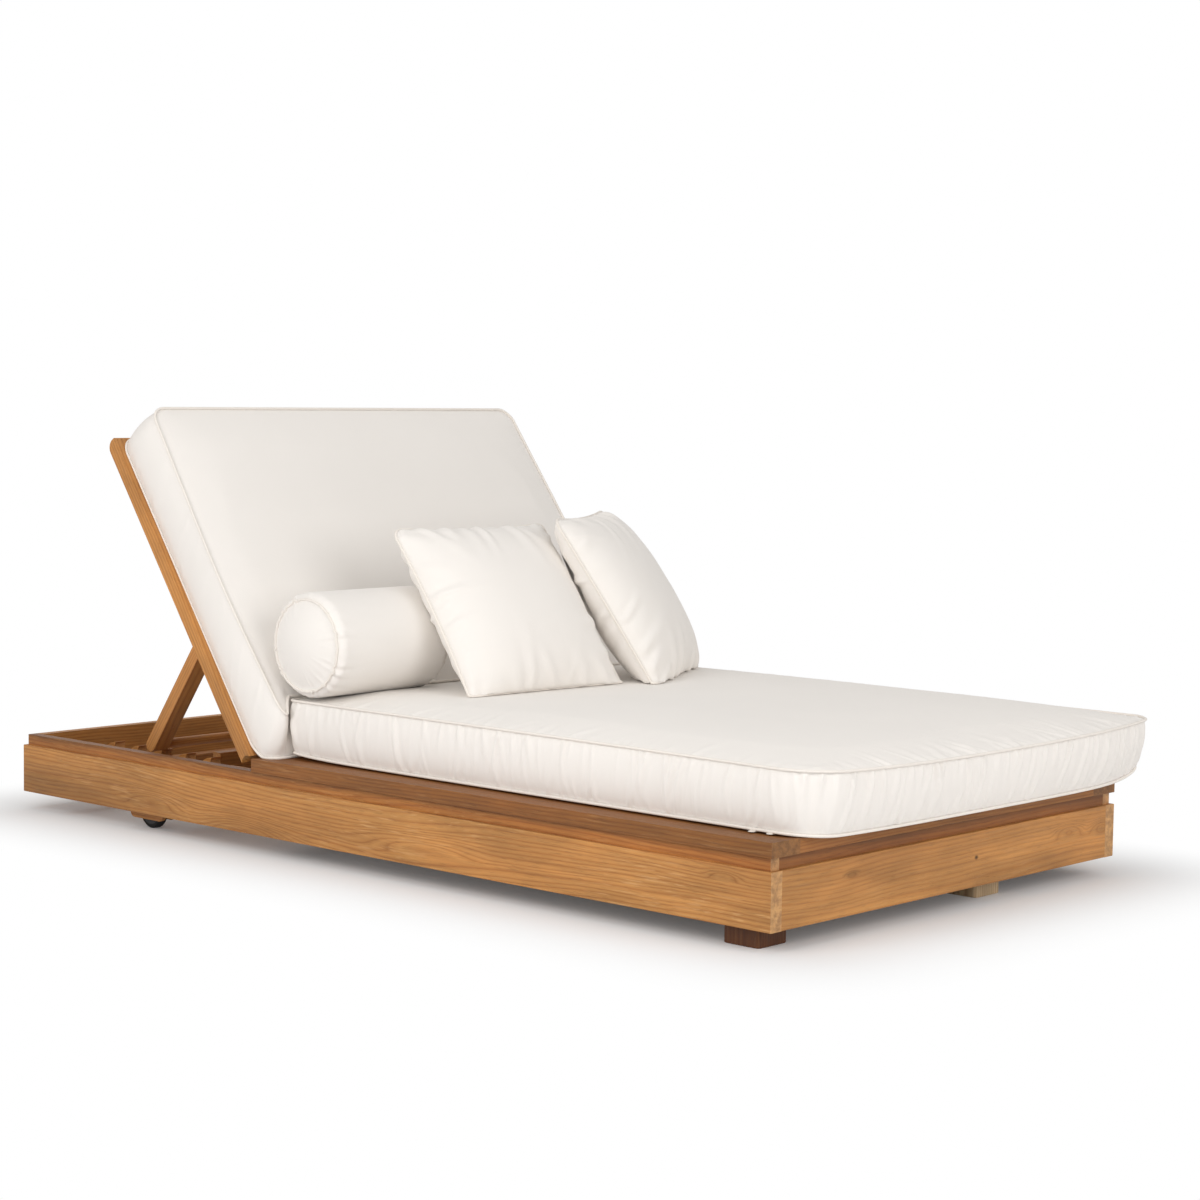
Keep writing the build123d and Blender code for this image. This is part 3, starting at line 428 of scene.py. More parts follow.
def run_along(line):
    """Length run along a line at each of its points."""
    return np.concatenate([[0], np.cumsum(np.linalg.norm(np.diff(line, axis=0), axis=1))])


def boundary(grid):
    """Places round the edge of a grid, counter-clockwise, starting at its first corner."""
    columns, rows = grid.shape[0] - 1, grid.shape[1] - 1
    i = np.concatenate([np.arange(columns), np.full(rows, columns), np.arange(columns, 0, -1),
                        np.zeros(rows, int)])
    j = np.concatenate([np.zeros(columns, int), np.arange(rows), np.full(columns, rows), np.arange(rows, 0, -1)])
    return i, j


def cover_panel(profile, sides, cells, length, corners):
    """Grid of one panel of a cover, where profile(share) gives y and z from its foot to its head.

    Near a corner the square of side r is pressed into a quarter disc: x' = x sqrt(1 - y^2 / 2) and
    y' = y sqrt(1 - x^2 / 2). The corners are given as foot left, foot right, head left, head right.
    """
    a, s = np.meshgrid(np.linspace(-1, 1, cells[0] + 1), np.linspace(-1, 1, cells[1] + 1), indexing="ij")
    half_x, half_s = (sides[1] - sides[0]) / 2, length / 2
    corner = np.where(s < 0, np.where(a < 0, corners[0], corners[1]), np.where(a < 0, corners[2], corners[3]))
    cx = np.clip((np.abs(a) * half_x - (half_x - corner)) / corner, 0, 1)
    cs = np.clip((np.abs(s) * half_s - (half_s - corner)) / corner, 0, 1)
    x = np.sign(a) * (np.minimum(np.abs(a) * half_x, half_x - corner) + corner * cx * np.sqrt(1 - cs**2 / 2))
    y = np.sign(s) * (np.minimum(np.abs(s) * half_s, half_s - corner) + corner * cs * np.sqrt(1 - cx**2 / 2))
    share = 0.5 + y / length
    return np.dstack([x + sum(sides) / 2, profile(share.ravel()).reshape(share.shape + (2,))])


def cover_band(front, rear, steps, bulge):
    """Rings from the front seam to the rear one, which swell out by bulge times 4 t (1 - t) on the way."""
    i, j = boundary(front)
    edge_front, edge_rear = front[i, j], rear[i, j]
    along = np.roll(edge_front, -1, 0) - np.roll(edge_front, 1, 0)
    outward = unit(np.cross(along, edge_front - edge_rear))
    t = np.linspace(0, 1, steps + 1)[:, None, None]
    return edge_front * (1 - t) + edge_rear * t + outward * bulge * 4 * t * (1 - t)


def cover_parts(front, rear, band):
    """All vertices, the vertex numbers of the band rings, and the quads of both panels and the band, facing out."""
    grid = np.arange(front[..., 0].size).reshape(front.shape[:2])
    i, j = boundary(grid)
    between = 2 * grid.size + np.arange(band[1:-1, :, 0].size).reshape(-1, len(i))
    rings = np.vstack([grid[i, j], between, grid.size + grid[i, j]])
    panel = np.stack([grid[:-1, :-1], grid[1:, :-1], grid[1:, 1:], grid[:-1, 1:]], -1).reshape(-1, 4)
    ahead = np.roll(rings, -1, 1)
    quads = np.stack([rings[:-1], rings[1:], ahead[1:], ahead[:-1]], -1).reshape(-1, 4)
    points = np.vstack([front.reshape(-1, 3), rear.reshape(-1, 3), band[1:-1].reshape(-1, 3)])
    return points, rings, np.vstack([panel, grid.size + panel[:, ::-1], quads])


def swell(cells, power_across, power_along):
    """A crown over a panel: (1 - |a|^p) (1 - |b|^q), with a and b running from -1 to 1 between its edges."""
    a = np.abs(np.linspace(-1, 1, cells[0] + 1))[:, None]
    b = np.abs(np.linspace(-1, 1, cells[1] + 1))[None, :]
    return (1 - a**power_across) * (1 - b**power_along)


def mesh_from(name, points, faces, uv=None):
    """A smooth mesh from arrays of vertices and quads."""
    mesh = bpy.data.meshes.new(name)
    mesh.vertices.add(len(points))
    mesh.vertices.foreach_set("co", np.ascontiguousarray(points, np.float32).ravel())
    mesh.loops.add(4 * len(faces))
    mesh.loops.foreach_set("vertex_index", np.ascontiguousarray(faces, np.int32).ravel())
    mesh.polygons.add(len(faces))
    mesh.polygons.foreach_set("loop_start", np.arange(0, 4 * len(faces), 4, dtype=np.int32))
    mesh.update(calc_edges=True)
    mesh.polygons.foreach_set("use_smooth", np.ones(len(faces), bool))
    if uv is not None:
        layer = mesh.uv_layers.new(name="cloth")
        layer.data.foreach_set("uv", np.ascontiguousarray(uv[faces.ravel()], np.float32).ravel())
    mesh.validate()
    return mesh


def puffed(front, rear, band, held_rear, pressure, cap, frames):
    """Cloth simulation of a closed cover under inner pressure, with its seams fixed, and the rear panel too if held.

    Each point then keeps its way, but no more than cap of it.
    """
    points, rings, faces = cover_parts(front, rear, band)
    count = front[..., 0].size
    held = np.zeros(len(points), bool)
    held[rings[0]] = True
    held[rings[-1]] = True
    held[count:2 * count] |= held_rear
    trial = placed("trial", mesh_from("trial", points, faces))
    group = trial.vertex_groups.new(name="held")
    group.add([int(k) for k in np.flatnonzero(held)], 1.0, "REPLACE")
    cloth = trial.modifiers.new("cloth", "CLOTH")
    for key, value in {"quality": 5, "mass": 0.3, "tension_stiffness": 12, "compression_stiffness": 12,
                       "shear_stiffness": 4, "bending_stiffness": 0.2, "use_pressure": True,
                       "uniform_pressure_force": pressure, "vertex_group_mass": "held"}.items():
        setattr(cloth.settings, key, value)
    cloth.settings.effector_weights.gravity = 0.0
    cloth.point_cache.frame_start = 1
    cloth.point_cache.frame_end = frames
    for number in range(1, frames + 1):
        bpy.context.scene.frame_set(number)
    puffed_mesh = trial.evaluated_get(bpy.context.evaluated_depsgraph_get()).data
    found = np.empty(3 * len(points))
    puffed_mesh.vertices.foreach_get("co", found)
    bpy.data.objects.remove(trial)
    bpy.context.scene.frame_set(1)
    moved = found.reshape(-1, 3) - points
    far = np.linalg.norm(moved, axis=1)[:, None]
    points = points + moved * np.minimum(1, cap / np.maximum(far, 1e-9))
    return points[:count].reshape(front.shape), points[count:2 * count].reshape(rear.shape), points[rings]


def finer(grid, closed):
    """Twice as fine along both axes: each new point is (9 (b + c) - (a + d)) / 16 of its four neighbours."""
    for axis, wraps in ((0, False), (1, closed)):
        line = np.moveaxis(grid, axis, 0)
        if wraps:
            b, c = line, np.roll(line, -1, 0)
            a, d = np.roll(line, 1, 0), np.roll(line, -2, 0)
            fine = np.empty((2 * len(line),) + line.shape[1:])
        else:
            padded_line = np.concatenate([2 * line[:1] - line[1:2], line, 2 * line[-1:] - line[-2:-1]])
            a, b, c, d = padded_line[:-3], padded_line[1:-2], padded_line[2:-1], padded_line[3:]
            fine = np.empty((2 * len(line) - 1,) + line.shape[1:])
        fine[::2] = line
        fine[1::2] = (9 * (b + c) - (a + d)) / 16
        grid = np.moveaxis(fine, 0, axis)
    return grid


def refined(front, rear, band, times):
    """Both panels and the band, made finer together, with the panels meeting the band at its seams."""
    for _ in range(times):
        front, rear, band = finer(front, False), finer(rear, False), finer(band, True)
        i, j = boundary(front)
        front[i, j], rear[i, j] = band[0], band[-1]
    return front, rear, band


def surface_normals(points, faces):
    """Unit normals of the vertices: the crossed diagonals of the quads round each one, added up."""
    corner = points[faces]
    flat = np.cross(corner[:, 2] - corner[:, 0], corner[:, 3] - corner[:, 1])
    total = np.zeros_like(points)
    for k in range(4):
        np.add.at(total, faces[:, k], flat)
    return total / np.maximum(np.linalg.norm(total, axis=1), 1e-12)[:, None]


def gathers(run, depth, total, spacing, height, reach, seed, slant=0.25):
    """Height of gathers that start on a seam, at a place run along it and a depth away from it.

    Each gather is a ridge between two dips, (1 - q^2) exp(-q^2 / 2) with q = (run - its place - slant) / width,
    and fades as exp(-(depth / its reach)^2). Places, widths, heights and reaches come from seeded numbers.
    """
    chance = np.random.default_rng(seed)
    count = max(3, int(total / spacing))
    places = (np.arange(count) + chance.uniform(-0.45, 0.45, count)) * total / count
    widths = chance.uniform(0.12, 0.27, count) * spacing
    heights = height * chance.uniform(0.15, 1.0, count) ** 1.4
    reaches = reach * chance.uniform(0.45, 1.3, count)
    leans = chance.uniform(-slant, slant, count)
    result = np.zeros(np.broadcast(run, depth).shape)
    for place, width, peak, far, lean in zip(places, widths, heights, reaches, leans):
        off = (run - place - lean * depth + total / 2) % total - total / 2
        q = off / (width * (1 + 0.6 * depth / far))
        result += peak * (1 - q**2) * np.exp(-(q**2) / 2) * np.exp(-((depth / far) ** 2))
    return result


def woven_cloth(name, thread=0.0011, tint=(1.0, 1.0, 1.0)):
    """Plain weave of matt outdoor yarn: crossing waves of the thread width over the cloth's own map."""
    material, tree, texture = bare_material(name)
    place = put(tree, "ShaderNodeUVMap", (), {"uv_map": "cloth"}).outputs[0]
    turns = vector_maths(tree, "MULTIPLY", place, (math.pi / thread,) * 3)
    split = put(tree, "ShaderNodeSeparateXYZ", (turns,)).outputs
    crossing = maths(tree, "MULTIPLY", maths(tree, "SINE", split[0]), maths(tree, "SINE", split[1]))
    slub = noise(tree, texture["Object"], None, 2.0, scale=420.0)
    cloud = noise(tree, texture["Object"], None, 3.0, scale=3.0)
    both = maths(tree, "MULTIPLY", mapped(tree, crossing, -1.0, 1.0, 0.965, 1.02),
                 mapped(tree, cloud, 0.3, 0.7, 0.985, 1.012))
    shade = tinted(tree, [c * t for c, t in zip(cloth_colour, tint)], both)
    height = maths(tree, "MULTIPLY_ADD", slub, 0.8, crossing)
    surfaced(tree, shade, mapped(tree, slub, 0.3, 0.7, 0.82, 0.95), height, 0.25, 0.00025, Specular_IOR_Level=0.25,
             Sheen_Weight=0.12, Sheen_Roughness=0.5)
    return material


cushion_cloth = woven_cloth("cushion_cloth")
cord_cloth = woven_cloth("cord_cloth", thread=0.0009, tint=(0.97, 0.95, 0.925))


def seam_cord(name, loop, outward):
    """Cord in a seam: a round section carried along the closed seam line, in the plane across it."""
    sides = 10
    ahead = unit(np.roll(loop, -1, 0) - np.roll(loop, 1, 0))
    out = unit(outward - ahead * np.sum(outward * ahead, axis=1)[:, None])
    beside = np.cross(ahead, out)
    turn = np.linspace(0, 2 * np.pi, sides, endpoint=False)[None, :, None]
    tube = loop[:, None] + cord_radius * (np.cos(turn) * out[:, None] + np.sin(turn) * beside[:, None])
    number = np.arange(len(loop) * sides).reshape(len(loop), sides)
    after = np.roll(number, -1, 0)
    faces = np.stack([number, np.roll(number, -1, 1), np.roll(after, -1, 1), after], -1)
    uv = np.dstack(np.broadcast_arrays(run_along(loop)[:, None],
                                       (2 * np.pi * cord_radius / sides) * np.arange(sides)[None]))
    mesh = mesh_from(name, tube.reshape(-1, 3), faces.reshape(-1, 4)[:, ::-1], uv.reshape(-1, 2))
    return placed(name, mesh, cord_cloth)


def finished_cover(name, front, rear, band, node, body, spacing, height, reach, seed, dip, crease, way,
                   strength, panels=1, cords=2):
    """Raise the gathers on the refined grids, and make the cover and the cords in its seams.

    Spacing, height and reach are those of the gathers, crease is their height on the panels, dip is the dip
    beside a seam, way leads to the head edge, and strength is that at the sides, the foot and the head edge.
    """
    columns, rows = front.shape[0] - 1, front.shape[1] - 1
    points, rings, faces = cover_parts(front, rear, band)
    normals = surface_normals(points, faces)
    count = front[..., 0].size
    side_share, foot_share, head_share = strength
    edge_run = run_along(band[0])
    total = edge_run[-1] + np.linalg.norm(band[0, 0] - band[0, -1])
    band_depth = run_along(band[:, 0])[:, None]
    headway = normals[rings[len(rings) // 2]] @ np.array(way)
    band_strength = side_share * (1 - headway**2) + np.where(headway < 0, foot_share, head_share) * headway**2
    # Reach of the dip beside a seam, and the way over which the lift comes up from it, on the band and the panels.
    band_dip, panel_dip, band_start, panel_start = 0.006, 0.007, 0.004, 0.003
    lift = np.zeros(len(points))
    below = gathers(edge_run[None, :], band_depth, total, spacing, height, reach, seed)
    above = gathers(edge_run[None, :], band_depth[-1] - band_depth, total, spacing, 0.7 * height, 0.7 * reach,
                    seed + 1)
    band_lift = (below + above) * band_strength[None, :] * (1 - np.exp(-band_depth / band_start))
    band_lift -= dip * (np.exp(-band_depth / band_dip) + np.exp(-(band_depth[-1] - band_depth) / band_dip))
    lift[rings[1:-1].ravel()] = band_lift[1:-1].ravel()
    width = np.linalg.norm(front[-1, rows // 2] - front[0, rows // 2])
    length = np.linalg.norm(front[columns // 2, -1] - front[columns // 2, 0])
    a, s = np.meshgrid(np.linspace(0, width, columns + 1), np.linspace(0, length, rows + 1), indexing="ij")
    inner = np.minimum.reduce([a, width - a, s, length - s])
    edges = ((s, a, length, side_share), (s, width - a, length, side_share), (a, s, width, foot_share),
             (a, length - s, width, head_share))
    for panel in range(panels):
        panel_lift = np.zeros_like(a)
        for number, (along, depth, full, share) in enumerate(edges):
            creases = gathers(along, depth, full, 1.2 * spacing, crease, 0.8 * reach,
                              seed + 2 + number + 10 * panel, slant=0.6)
            panel_lift += share * creases - dip * np.exp(-depth / panel_dip)
        lift[panel * count:(panel + 1) * count] = (panel_lift * (1 - np.exp(-inner / panel_start))).ravel()
    points = points + normals * lift[:, None]
    flat_uv = np.dstack([a, s]).reshape(-1, 2)
    band_uv = np.dstack(np.broadcast_arrays(edge_run[None, :], band_depth[1:-1])).reshape(-1, 2)
    cover = placed(name, mesh_from(name, points, faces, np.vstack([flat_uv, flat_uv, band_uv])), cushion_cloth)
    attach(cover, body)
    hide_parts(node)
    cord_rings = {"upper": rings[0], "lower": rings[-1]} if cords == 2 else {"edge": rings[len(rings) // 2]}
    for which, ring in cord_rings.items():
        loop = points[ring] + normals[ring] * 0.6 * cord_radius
        cord = seam_cord(f"{name}_cord_{which}", loop, normals[ring])
        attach(cord, body)


def seat_upper(share):
    """Top panel of the seat, level at the upper seam."""
    y = seat_foot + (seat_rear - seat_foot) * share
    return np.stack([y, np.full_like(y, seat_seam)], -1)


def seat_lower(share):
    """Bottom panel of the seat, on the deck."""
    y = seat_foot + seat_lower_inset + (seat_rear - seat_foot - seat_lower_inset) * share
    return np.stack([y, np.full_like(y, seat_low)], -1)


seat_length = seat_rear - seat_foot
seat_cells = (68, 82)
front = cover_panel(seat_upper, seat_sides, seat_cells, seat_length, seat_corners)
rear = cover_panel(seat_lower, (seat_sides[0] + seat_lower_side, seat_sides[1] - seat_lower_far), seat_cells,
                   seat_length, seat_corners)
across = np.linspace(-1, 1, seat_cells[0] + 1)[:, None]
to_foot = np.linspace(1, 0, seat_cells[1] + 1)[None, :] ** 3
front[..., 1] -= seat_foot_bow * (1 - across**4) * to_foot
front[..., 2] -= (seat_foot_droop * (1 - across**2) + seat_near_droop * (1 - across)) * to_foot
rear[..., 1] -= seat_lower_bow * (1 - across**4) * to_foot

# The lower seam is lifted at the far foot corner, along the near side and at the near rear corner.
from_corner = np.hypot(rear[..., 0] - seat_sides[1] + seat_lower_far, rear[..., 1] - seat_foot - seat_lower_inset)
from_side = rear[..., 0] - seat_sides[0] - seat_lower_side
rear[..., 2] += 0.034 * np.exp(-from_corner / 0.055) + 0.0045 * np.exp(-from_side / 0.02)
rear[..., 2] += 0.008 * np.exp(-np.hypot(from_side, rear[..., 1] - seat_rear) / 0.06)
band = cover_band(front, rear, steps=7, bulge=0.007)

# The crown is lower towards the head, under the bolster and the pillows.
loaded = np.clip((front[..., 1] + 0.35) / 0.30, 0, 1)
front[..., 2] += seat_crown * (1 - 0.25 * loaded) * swell(seat_cells, 9, 9)
front, rear, band = puffed(front, rear, band, held_rear=True, pressure=3.0, cap=0.006, frames=14)
front, rear, band = refined(front, rear, band, times=2)
bolster_rise, bolster_slimmer, bolster_longer = 0.012, 0.001, 0.030
beside_reach, beside_gap = 0.004, 0.0015
roll_low, roll_high = np.array(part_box("bolster"))
roll_middle = (roll_low + roll_high) / 2 + (0, 0, bolster_rise)
roll_radius = (roll_high[2] - roll_low[2]) / 2 - bolster_slimmer
roll_left = roll_low[0] - bolster_longer


def beside_roll(points, normal):
    """Press points out of the bolster: inside its length each one stays its radius away from its axis."""
    within = (points[..., 0] > roll_left - beside_reach) & (points[..., 0] < roll_high[0] + beside_reach)
    off_y, off_z = points[..., 1] - roll_middle[1], points[..., 2] - roll_middle[2]
    forward = off_y * normal[0] + off_z * normal[1]
    sideways = off_y * normal[1] - off_z * normal[0]
    needed = np.sqrt(np.maximum((roll_radius + beside_gap) ** 2 - sideways**2, 0))
    press = np.where(within & (forward > -needed) & (forward < 0), forward + needed, 0)
    points[..., 1] -= press * normal[0]
    points[..., 2] -= press * normal[1]


beside_roll(front, (0.0, 1.0))
seat_top = front
band[..., 1] = np.minimum(band[..., 1], seat_rear + 0.0008)
finished_cover("seat_cushion_cover", front, rear, band, "seat_cushion", "base", spacing=0.024,
               height=0.0074, reach=0.075, seed=11, dip=0.0020, crease=0.0036, way=(0.0, 1.0, 0.0),
               strength=(0.68, 1.0, 0.0))


# Two small cloth loops hang from the lower seam of the seat near its foot corner, and lie on the deck rail.
# Each is a flat folded ribbon, thinner towards its ends.
tab_half = (0.015, 0.0065, 0.0017)
tab_places = {"near": (-0.503, -0.944, 0.1937), "foot": (-0.499, -0.981, 0.1937)}
tab_round, tab_rings = 24, 13
turn = np.linspace(0, 2 * np.pi, tab_round, endpoint=False)[:, None]
rise = np.linspace(-np.pi / 2, np.pi / 2, tab_rings + 2)[None, 1:-1]
tab_form = np.stack([np.cos(turn) * np.cos(rise) ** 0.3, np.broadcast_to(np.sin(rise), (tab_round, tab_rings)),
                     np.sin(turn) * np.cos(rise) ** 0.5], -1)
tab_numbers = np.arange(tab_round * tab_rings).reshape(tab_round, tab_rings)
tab_next = np.roll(tab_numbers, -1, 0)
tab_faces = np.stack([tab_numbers[:, :-1], tab_numbers[:, 1:], tab_next[:, 1:], tab_next[:, :-1]], -1).reshape(-1, 4)
for which, spot in tab_places.items():
    tab_points = (tab_form * tab_half).reshape(-1, 3) + spot
    ends = [list(map(int, tab_numbers[:, 0])), list(map(int, tab_numbers[::-1, -1]))]
    tab_mesh = bpy.data.meshes.new(f"seat_tab_{which}")
    tab_mesh.from_pydata(tab_points.tolist(), [], tab_faces.tolist() + ends)
    tab_mesh.polygons.foreach_set("use_smooth", np.ones(len(tab_mesh.polygons), bool))
    tab_mesh.uv_layers.new(name="cloth")
    tab = placed(f"seat_tab_{which}", tab_mesh, cord_cloth)
    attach(tab, "base")


# The back cushion: a boxed cover like the seat's, leaning on the back frame. Its rear panel bends at the hinge
# line and lies on the deck up to the seat cushion, and its near lower corner swells out beside the seat.
hinge_low, hinge_high = np.array(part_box("hinge_pins"))
hinge_y, hinge_z = ((hinge_low + hinge_high) / 2)[1:]
back_sides = (-0.543, 0.514)
back_rear_w, back_front_w = -0.0036, 0.1088
back_top_v = 0.764
back_foot_y = 0.2525
back_crown, back_belly, back_rear_wider = 0.013, 0.012, 0.004
lobe_start, lobe_width, lobe_reach, lobe_depth = -0.511, 0.030, 0.10, 0.055
beyond_seat = 0.006
slope_y, slope_z = math.cos(recline), math.sin(recline)


def on_slope(v, w):
    """Place (y, z) of a point v up the back frame and w in front of the hinge line's plane."""
    return np.stack([hinge_y + v * slope_y - w * slope_z, hinge_z + v * slope_z + w * slope_y], -1)


def back_front_panel(share):
    """Front panel: straight from its foot at the seat to the top."""
    foot_v = (back_foot_y - hinge_y + back_front_w * slope_z) / slope_y
    v = foot_v + (back_top_v - foot_v) * share
    return on_slope(v, np.full_like(v, back_front_w))


def back_rear_panel(share):
    """Rear panel: up from the deck at the seat's rear, round the hinge line and up the frame."""
    corners = np.array([[back_foot_y, seat_low + 0.001], [hinge_y - 0.036, seat_low], [hinge_y - 0.010, 0.1955],
                        on_slope(np.array(0.030), np.array(back_rear_w)),
                        on_slope(np.array(back_top_v), np.array(back_rear_w))])
    run = run_along(corners)
    at = share * run[-1]
    return np.stack([np.interp(at, run, corners[:, 0]), np.interp(at, run, corners[:, 1])], -1)


back_cells = (66, 48)
back_length = 0.70
back_corners = (0.030, 0.030, 0.034, 0.034)
front = cover_panel(back_front_panel, back_sides, back_cells, back_length, back_corners)
rear = cover_panel(back_rear_panel, (back_sides[0] - back_rear_wider, back_sides[1] + back_rear_wider),
                   back_cells, back_length, back_corners)
across = np.linspace(-1, 1, back_cells[0] + 1)[:, None]
along = np.linspace(0, 1, back_cells[1] + 1)[None, :]
front[..., 0] += np.sign(across) * np.abs(across) ** 3 * back_belly * np.sin(np.pi * (1 - along) ** 1.4)
ramp = np.clip((lobe_start - front[..., 0]) / lobe_width, 0, 1)
lobe = lobe_depth * ramp * ramp * (3 - 2 * ramp) * np.exp(-along / lobe_reach)
front[..., 1] -= lobe * slope_y
front[..., 2] -= lobe * slope_z
band = cover_band(front, rear, steps=7, bulge=0.008)
rise = back_crown * swell(back_cells, 8, 8)
front[..., 1] -= rise * slope_z
front[..., 2] += rise * slope_y
front, rear, band = puffed(front, rear, band, held_rear=True, pressure=3.0, cap=0.005, frames=14)
front, rear, band = refined(front, rear, band, times=2)
beside_roll(front, (-slope_z, slope_y))
outside_seat = band[..., 0] < seat_sides[0] - beyond_seat
band[..., 1] = np.where(outside_seat, band[..., 1], np.maximum(band[..., 1], back_foot_y))
finished_cover("back_cushion_cover", front, rear, band, "back_cushion", "back_frame", spacing=0.052,
               height=0.0022, reach=0.070, seed=41, dip=0.0018, crease=0.0008, way=(0.0, slope_y, slope_z),
               strength=(0.8, 0.0, 0.5))


# The bolster: a roll of wadding in the same cloth, gathered at each end into a corded cap that domes out.
# Its far end, which a throw pillow hides in the photograph, ends like the near one.
cap_dome, roll_turn = 0.022, 0.020
roll_dip, roll_dip_width = 0.0025, 0.006
cord_tilt, cord_stand_off = 0.7, 0.0016
roll_flat = roll_radius - roll_turn
roll_seam = roll_flat + 0.008


def roll_profile(share):
    """Half profile of the roll from cap middle to cap middle: place along it and distance from its axis.

    The cap is a dome, cap_dome (r / R)^2 deep, its edge turns in a quarter circle, and the body is straight.
    The far half mirrors the near one.
    """
    length = roll_high[0] - roll_left
    quarter = roll_turn * np.pi / 2
    total = 2 * (roll_flat + quarter) + length - 2 * (roll_turn + cap_dome)
    at = share * total
    near = np.minimum(at, total - at)
    angle = np.clip((near - roll_flat) / roll_turn, 0, np.pi / 2)
    on_cap = near <= roll_flat
    past_edge = cap_dome + roll_turn * (1 - np.cos(angle)) + np.maximum(near - roll_flat - quarter, 0)
    x = np.where(on_cap, cap_dome * (near / roll_flat) ** 2, past_edge)
    r = np.where(on_cap, near, roll_flat + roll_turn * np.sin(angle))
    return np.where(at > total / 2, length - x, x), r, at, total


rings_round, steps_along = 176, 150
share = np.linspace(0, 1, steps_along + 1)[1:-1]
roll_x, roll_r, at, roll_total = roll_profile(share)
theta = np.linspace(0, 2 * np.pi, rings_round, endpoint=False)[None, :]
seam_at = (roll_seam, roll_total - roll_seam)
round_run = theta * roll_radius
lift = np.zeros((len(share), rings_round))
for number, seam in enumerate(seam_at):
    depth = np.abs(at - seam)[:, None]
    lift += gathers(round_run, depth, 2 * np.pi * roll_radius, spacing=0.020, height=0.0042, reach=0.045,
                    seed=71 + number, slant=0.3)
    lift -= roll_dip * np.exp(-depth / roll_dip_width)
radial = np.maximum(roll_r[:, None] + lift * np.clip(roll_r[:, None] / roll_radius, 0, 1), 0)
radial = np.minimum(radial, roll_radius)
points = np.stack([np.broadcast_to(roll_left + roll_x[:, None], radial.shape),
                   roll_middle[1] + radial * np.cos(theta),
                   roll_middle[2] + radial * np.sin(theta)], -1)
number = np.arange(points[..., 0].size).reshape(points.shape[:2])
ahead = np.roll(number, -1, 1)
sides = np.stack([number[:-1], ahead[:-1], ahead[1:], number[1:]], -1).reshape(-1, 4)
poles = np.array([[x, *roll_middle[1:]] for x in (roll_left, roll_high[0])])
pole = points[..., 0].size
run_uv = np.dstack(np.broadcast_arrays(at[:, None], round_run)).reshape(-1, 2)
roll_mesh = bpy.data.meshes.new("bolster_cover")
start_fan = [(pole, int(b), int(a)) for a, b in zip(number[0], ahead[0])]
end_fan = [(pole + 1, int(a), int(b)) for a, b in zip(number[-1], ahead[-1])]
roll_mesh.from_pydata(np.vstack([points.reshape(-1, 3), poles]).tolist(), [], sides.tolist() + start_fan + end_fan)
roll_mesh.polygons.foreach_set("use_smooth", np.ones(len(roll_mesh.polygons), bool))
layer = roll_mesh.uv_layers.new(name="cloth")
corner_vertices = np.empty(len(roll_mesh.loops), np.int32)
roll_mesh.loops.foreach_get("vertex_index", corner_vertices)
all_uv = np.vstack([run_uv, [[0, 0], [at[-1], 0]]])
layer.data.foreach_set("uv", all_uv[corner_vertices].astype(np.float32).ravel())
bolster_cover = placed("bolster_cover", roll_mesh, cushion_cloth)
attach(bolster_cover, "base")
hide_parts("bolster")
for which, seam in zip(("left", "right"), seam_at):
    row = int(np.argmin(np.abs(at - seam)))
    loop = points[row]
    outward = loop - np.array([loop[:, 0].mean(), *roll_middle[1:]])
    outward[:, 0] = (-cord_tilt if which == "left" else cord_tilt) * roll_radius
    outward = unit(outward)
    ring_cord = seam_cord(f"bolster_cord_{which}", loop + outward * cord_stand_off, outward)
    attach(ring_cord, "base")


# The throw pillows: two square panels of the same cloth sewn at the edge round a soft filling, with a cord.
# The covers start from a full form with drawn-in sides, and a cloth simulation evens the cloth out over it.
# The plane where they touch was found on the finished covers, as the one that parts them with the least overlap.
pillow_size = 0.420
pillow_cells = (60, 60)
pillow_half_thickness, pillow_half_edge = 0.076, 0.0022
pillow_corner = 0.030
pillow_draw_in = 0.010
lounge = {       # turn and lean in degrees, shift, seed, and side of the touching plane
    "throw_pillow_left": (-4.0, 37.5, (-0.003, -0.003, 0), 105, 1),
    "throw_pillow_right": (28.5, 32.5, (-0.012, 0.008, 0), 209, -1),
}
touch_normal, touch_distance = np.array([0.6892, -0.5879, 0.4235]), 0.26482
touch_clearance, touch_softness = 0.0035, 0.002
seat_clearance, roll_clearance, roll_tip = 0.0035, 0.0025, 0.0005


def pillow_square(share):
    """Flat panel of a pillow, in its own plane."""
    return np.stack([(share - 0.5) * pillow_size, np.zeros_like(share)], -1)


def pillow_panels(cells):
    """Front and rear panel of a pillow that lies flat: half thickness e + h ((1 - |u|^2.8) (1 - |v|^2.8))^0.6."""
    u, v = np.meshgrid(np.linspace(-1, 1, cells[0] + 1), np.linspace(-1, 1, cells[1] + 1), indexing="ij")
    panel = cover_panel(pillow_square, (-pillow_size / 2, pillow_size / 2), cells, pillow_size, (pillow_corner,) * 4)
    x = panel[..., 0] * (1 - pillow_draw_in / (pillow_size / 2) * (1 - v**2))
    y = panel[..., 1] * (1 - pillow_draw_in / (pillow_size / 2) * (1 - u**2))
    z = pillow_half_thickness * ((1 - np.abs(u) ** 2.8) * (1 - np.abs(v) ** 2.8)) ** 0.6 + pillow_half_edge
    return np.dstack([x, y, z]), np.dstack([x, y, -z])


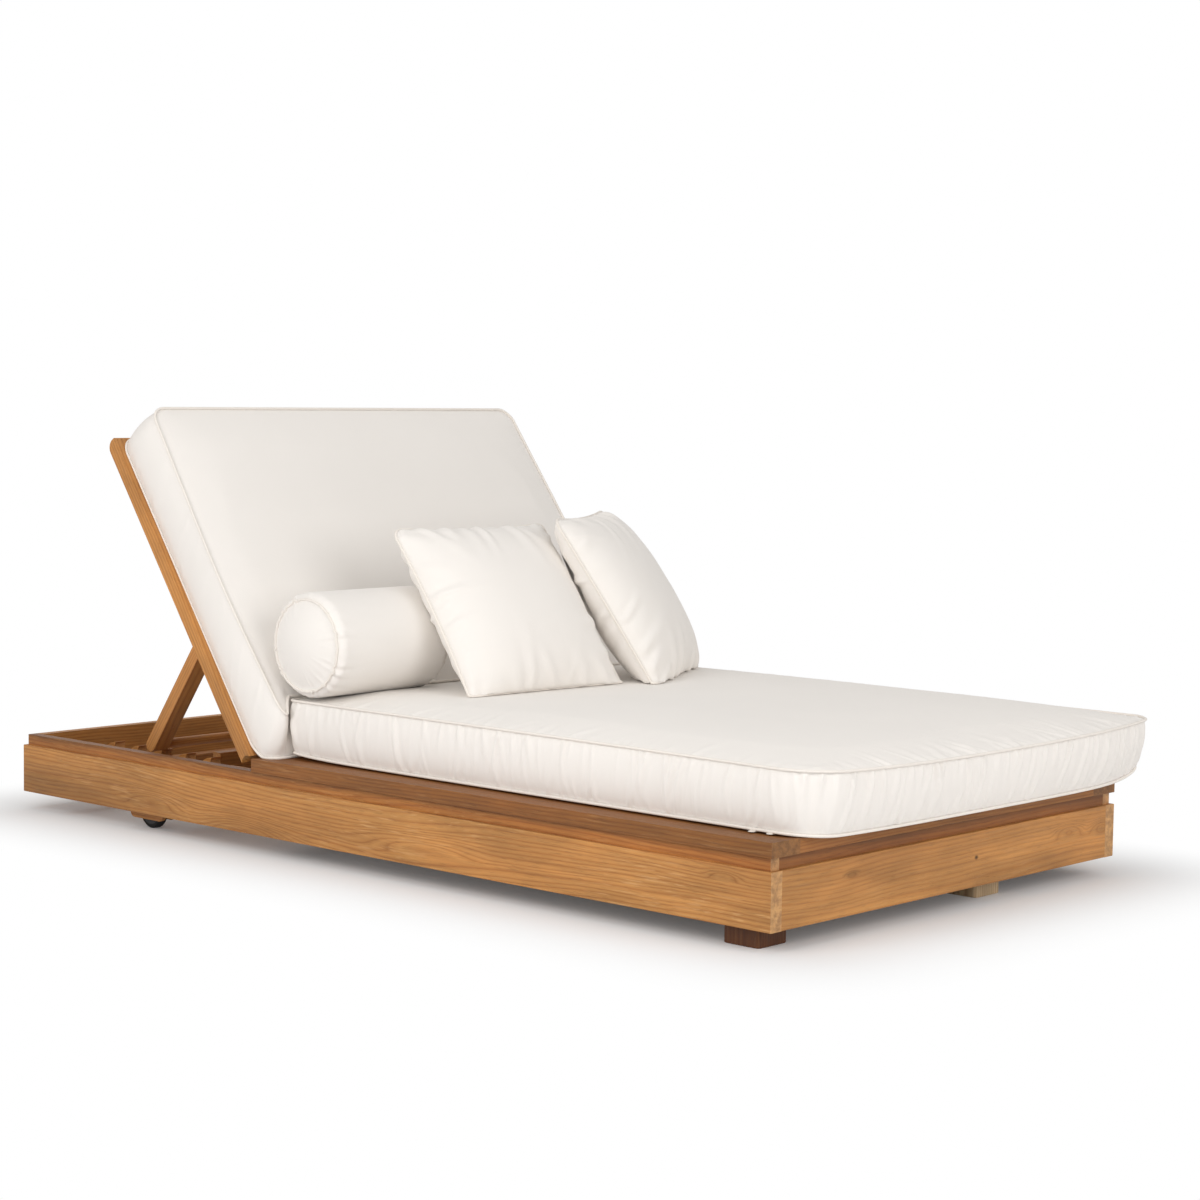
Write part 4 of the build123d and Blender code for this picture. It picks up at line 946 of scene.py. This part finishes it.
def settled(points, side):
    """Flatten the two pillows where they touch, lift them on to the seat, and press them out of the bolster.

    A point s past the touching plane, less the clearance, moves to -k ln(1 + exp(-s / k)), k being the
    softness. The bolster's radius follows its profile.
    """
    past = side * (points @ touch_normal - touch_distance) + touch_clearance
    kept = -touch_softness * np.logaddexp(0, -past / touch_softness)
    points = points - side * (past - kept)[..., None] * touch_normal
    cells_x, cells_y = seat_top.shape[0] - 1, seat_top.shape[1] - 1
    i = np.clip(np.rint((points[..., 0] - seat_sides[0]) / (seat_sides[1] - seat_sides[0]) * cells_x), 0, cells_x)
    j = np.clip(np.rint((points[..., 1] - seat_foot) / seat_length * cells_y), 0, cells_y)
    floor_z = seat_top[i.astype(int), j.astype(int), 2] + seat_clearance
    off_y, off_z = points[..., 1] - roll_middle[1], points[..., 2] - roll_middle[2]
    away = np.maximum(np.hypot(off_y, off_z), 1e-9)
    radius = np.interp(points[..., 0] - roll_left, roll_x, roll_r, left=0, right=0)
    grow = np.maximum(1, np.where(radius > roll_tip, radius + roll_clearance, 0) / away)
    return np.stack([points[..., 0], roll_middle[1] + off_y * grow,
                     np.maximum(roll_middle[2] + off_z * grow, floor_z)], -1)


for name, (turn, lean, shift, seed, side) in lounge.items():
    front, rear = pillow_panels(pillow_cells)
    band = cover_band(front, rear, steps=2, bulge=0.001)
    front, rear, band = puffed(front, rear, band, held_rear=False, pressure=4.0, cap=0.008, frames=12)
    front, rear, band = refined(front, rear, band, times=1)
    low, high = np.array(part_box(name))
    turn, lean = math.radians(turn), math.radians(lean)
    across = np.array([math.cos(turn), math.sin(turn), 0])
    upward = np.array([-math.sin(turn) * math.sin(lean), math.cos(turn) * math.sin(lean), math.cos(lean)])
    facing = np.cross(across, upward)
    spread = np.stack([across, upward, facing])
    middle = (low + high) / 2 + shift
    front, rear, band = [settled(middle + grid @ spread, side) for grid in (front, rear, band)]
    finished_cover(f"{name}_cover", front, rear, band, name, "base", spacing=0.040, height=0.0,
                   reach=0.085, seed=seed, dip=0.0010, crease=0.0060, way=upward, strength=(0.8, 0.8, 0.8),
                   panels=2, cords=1)
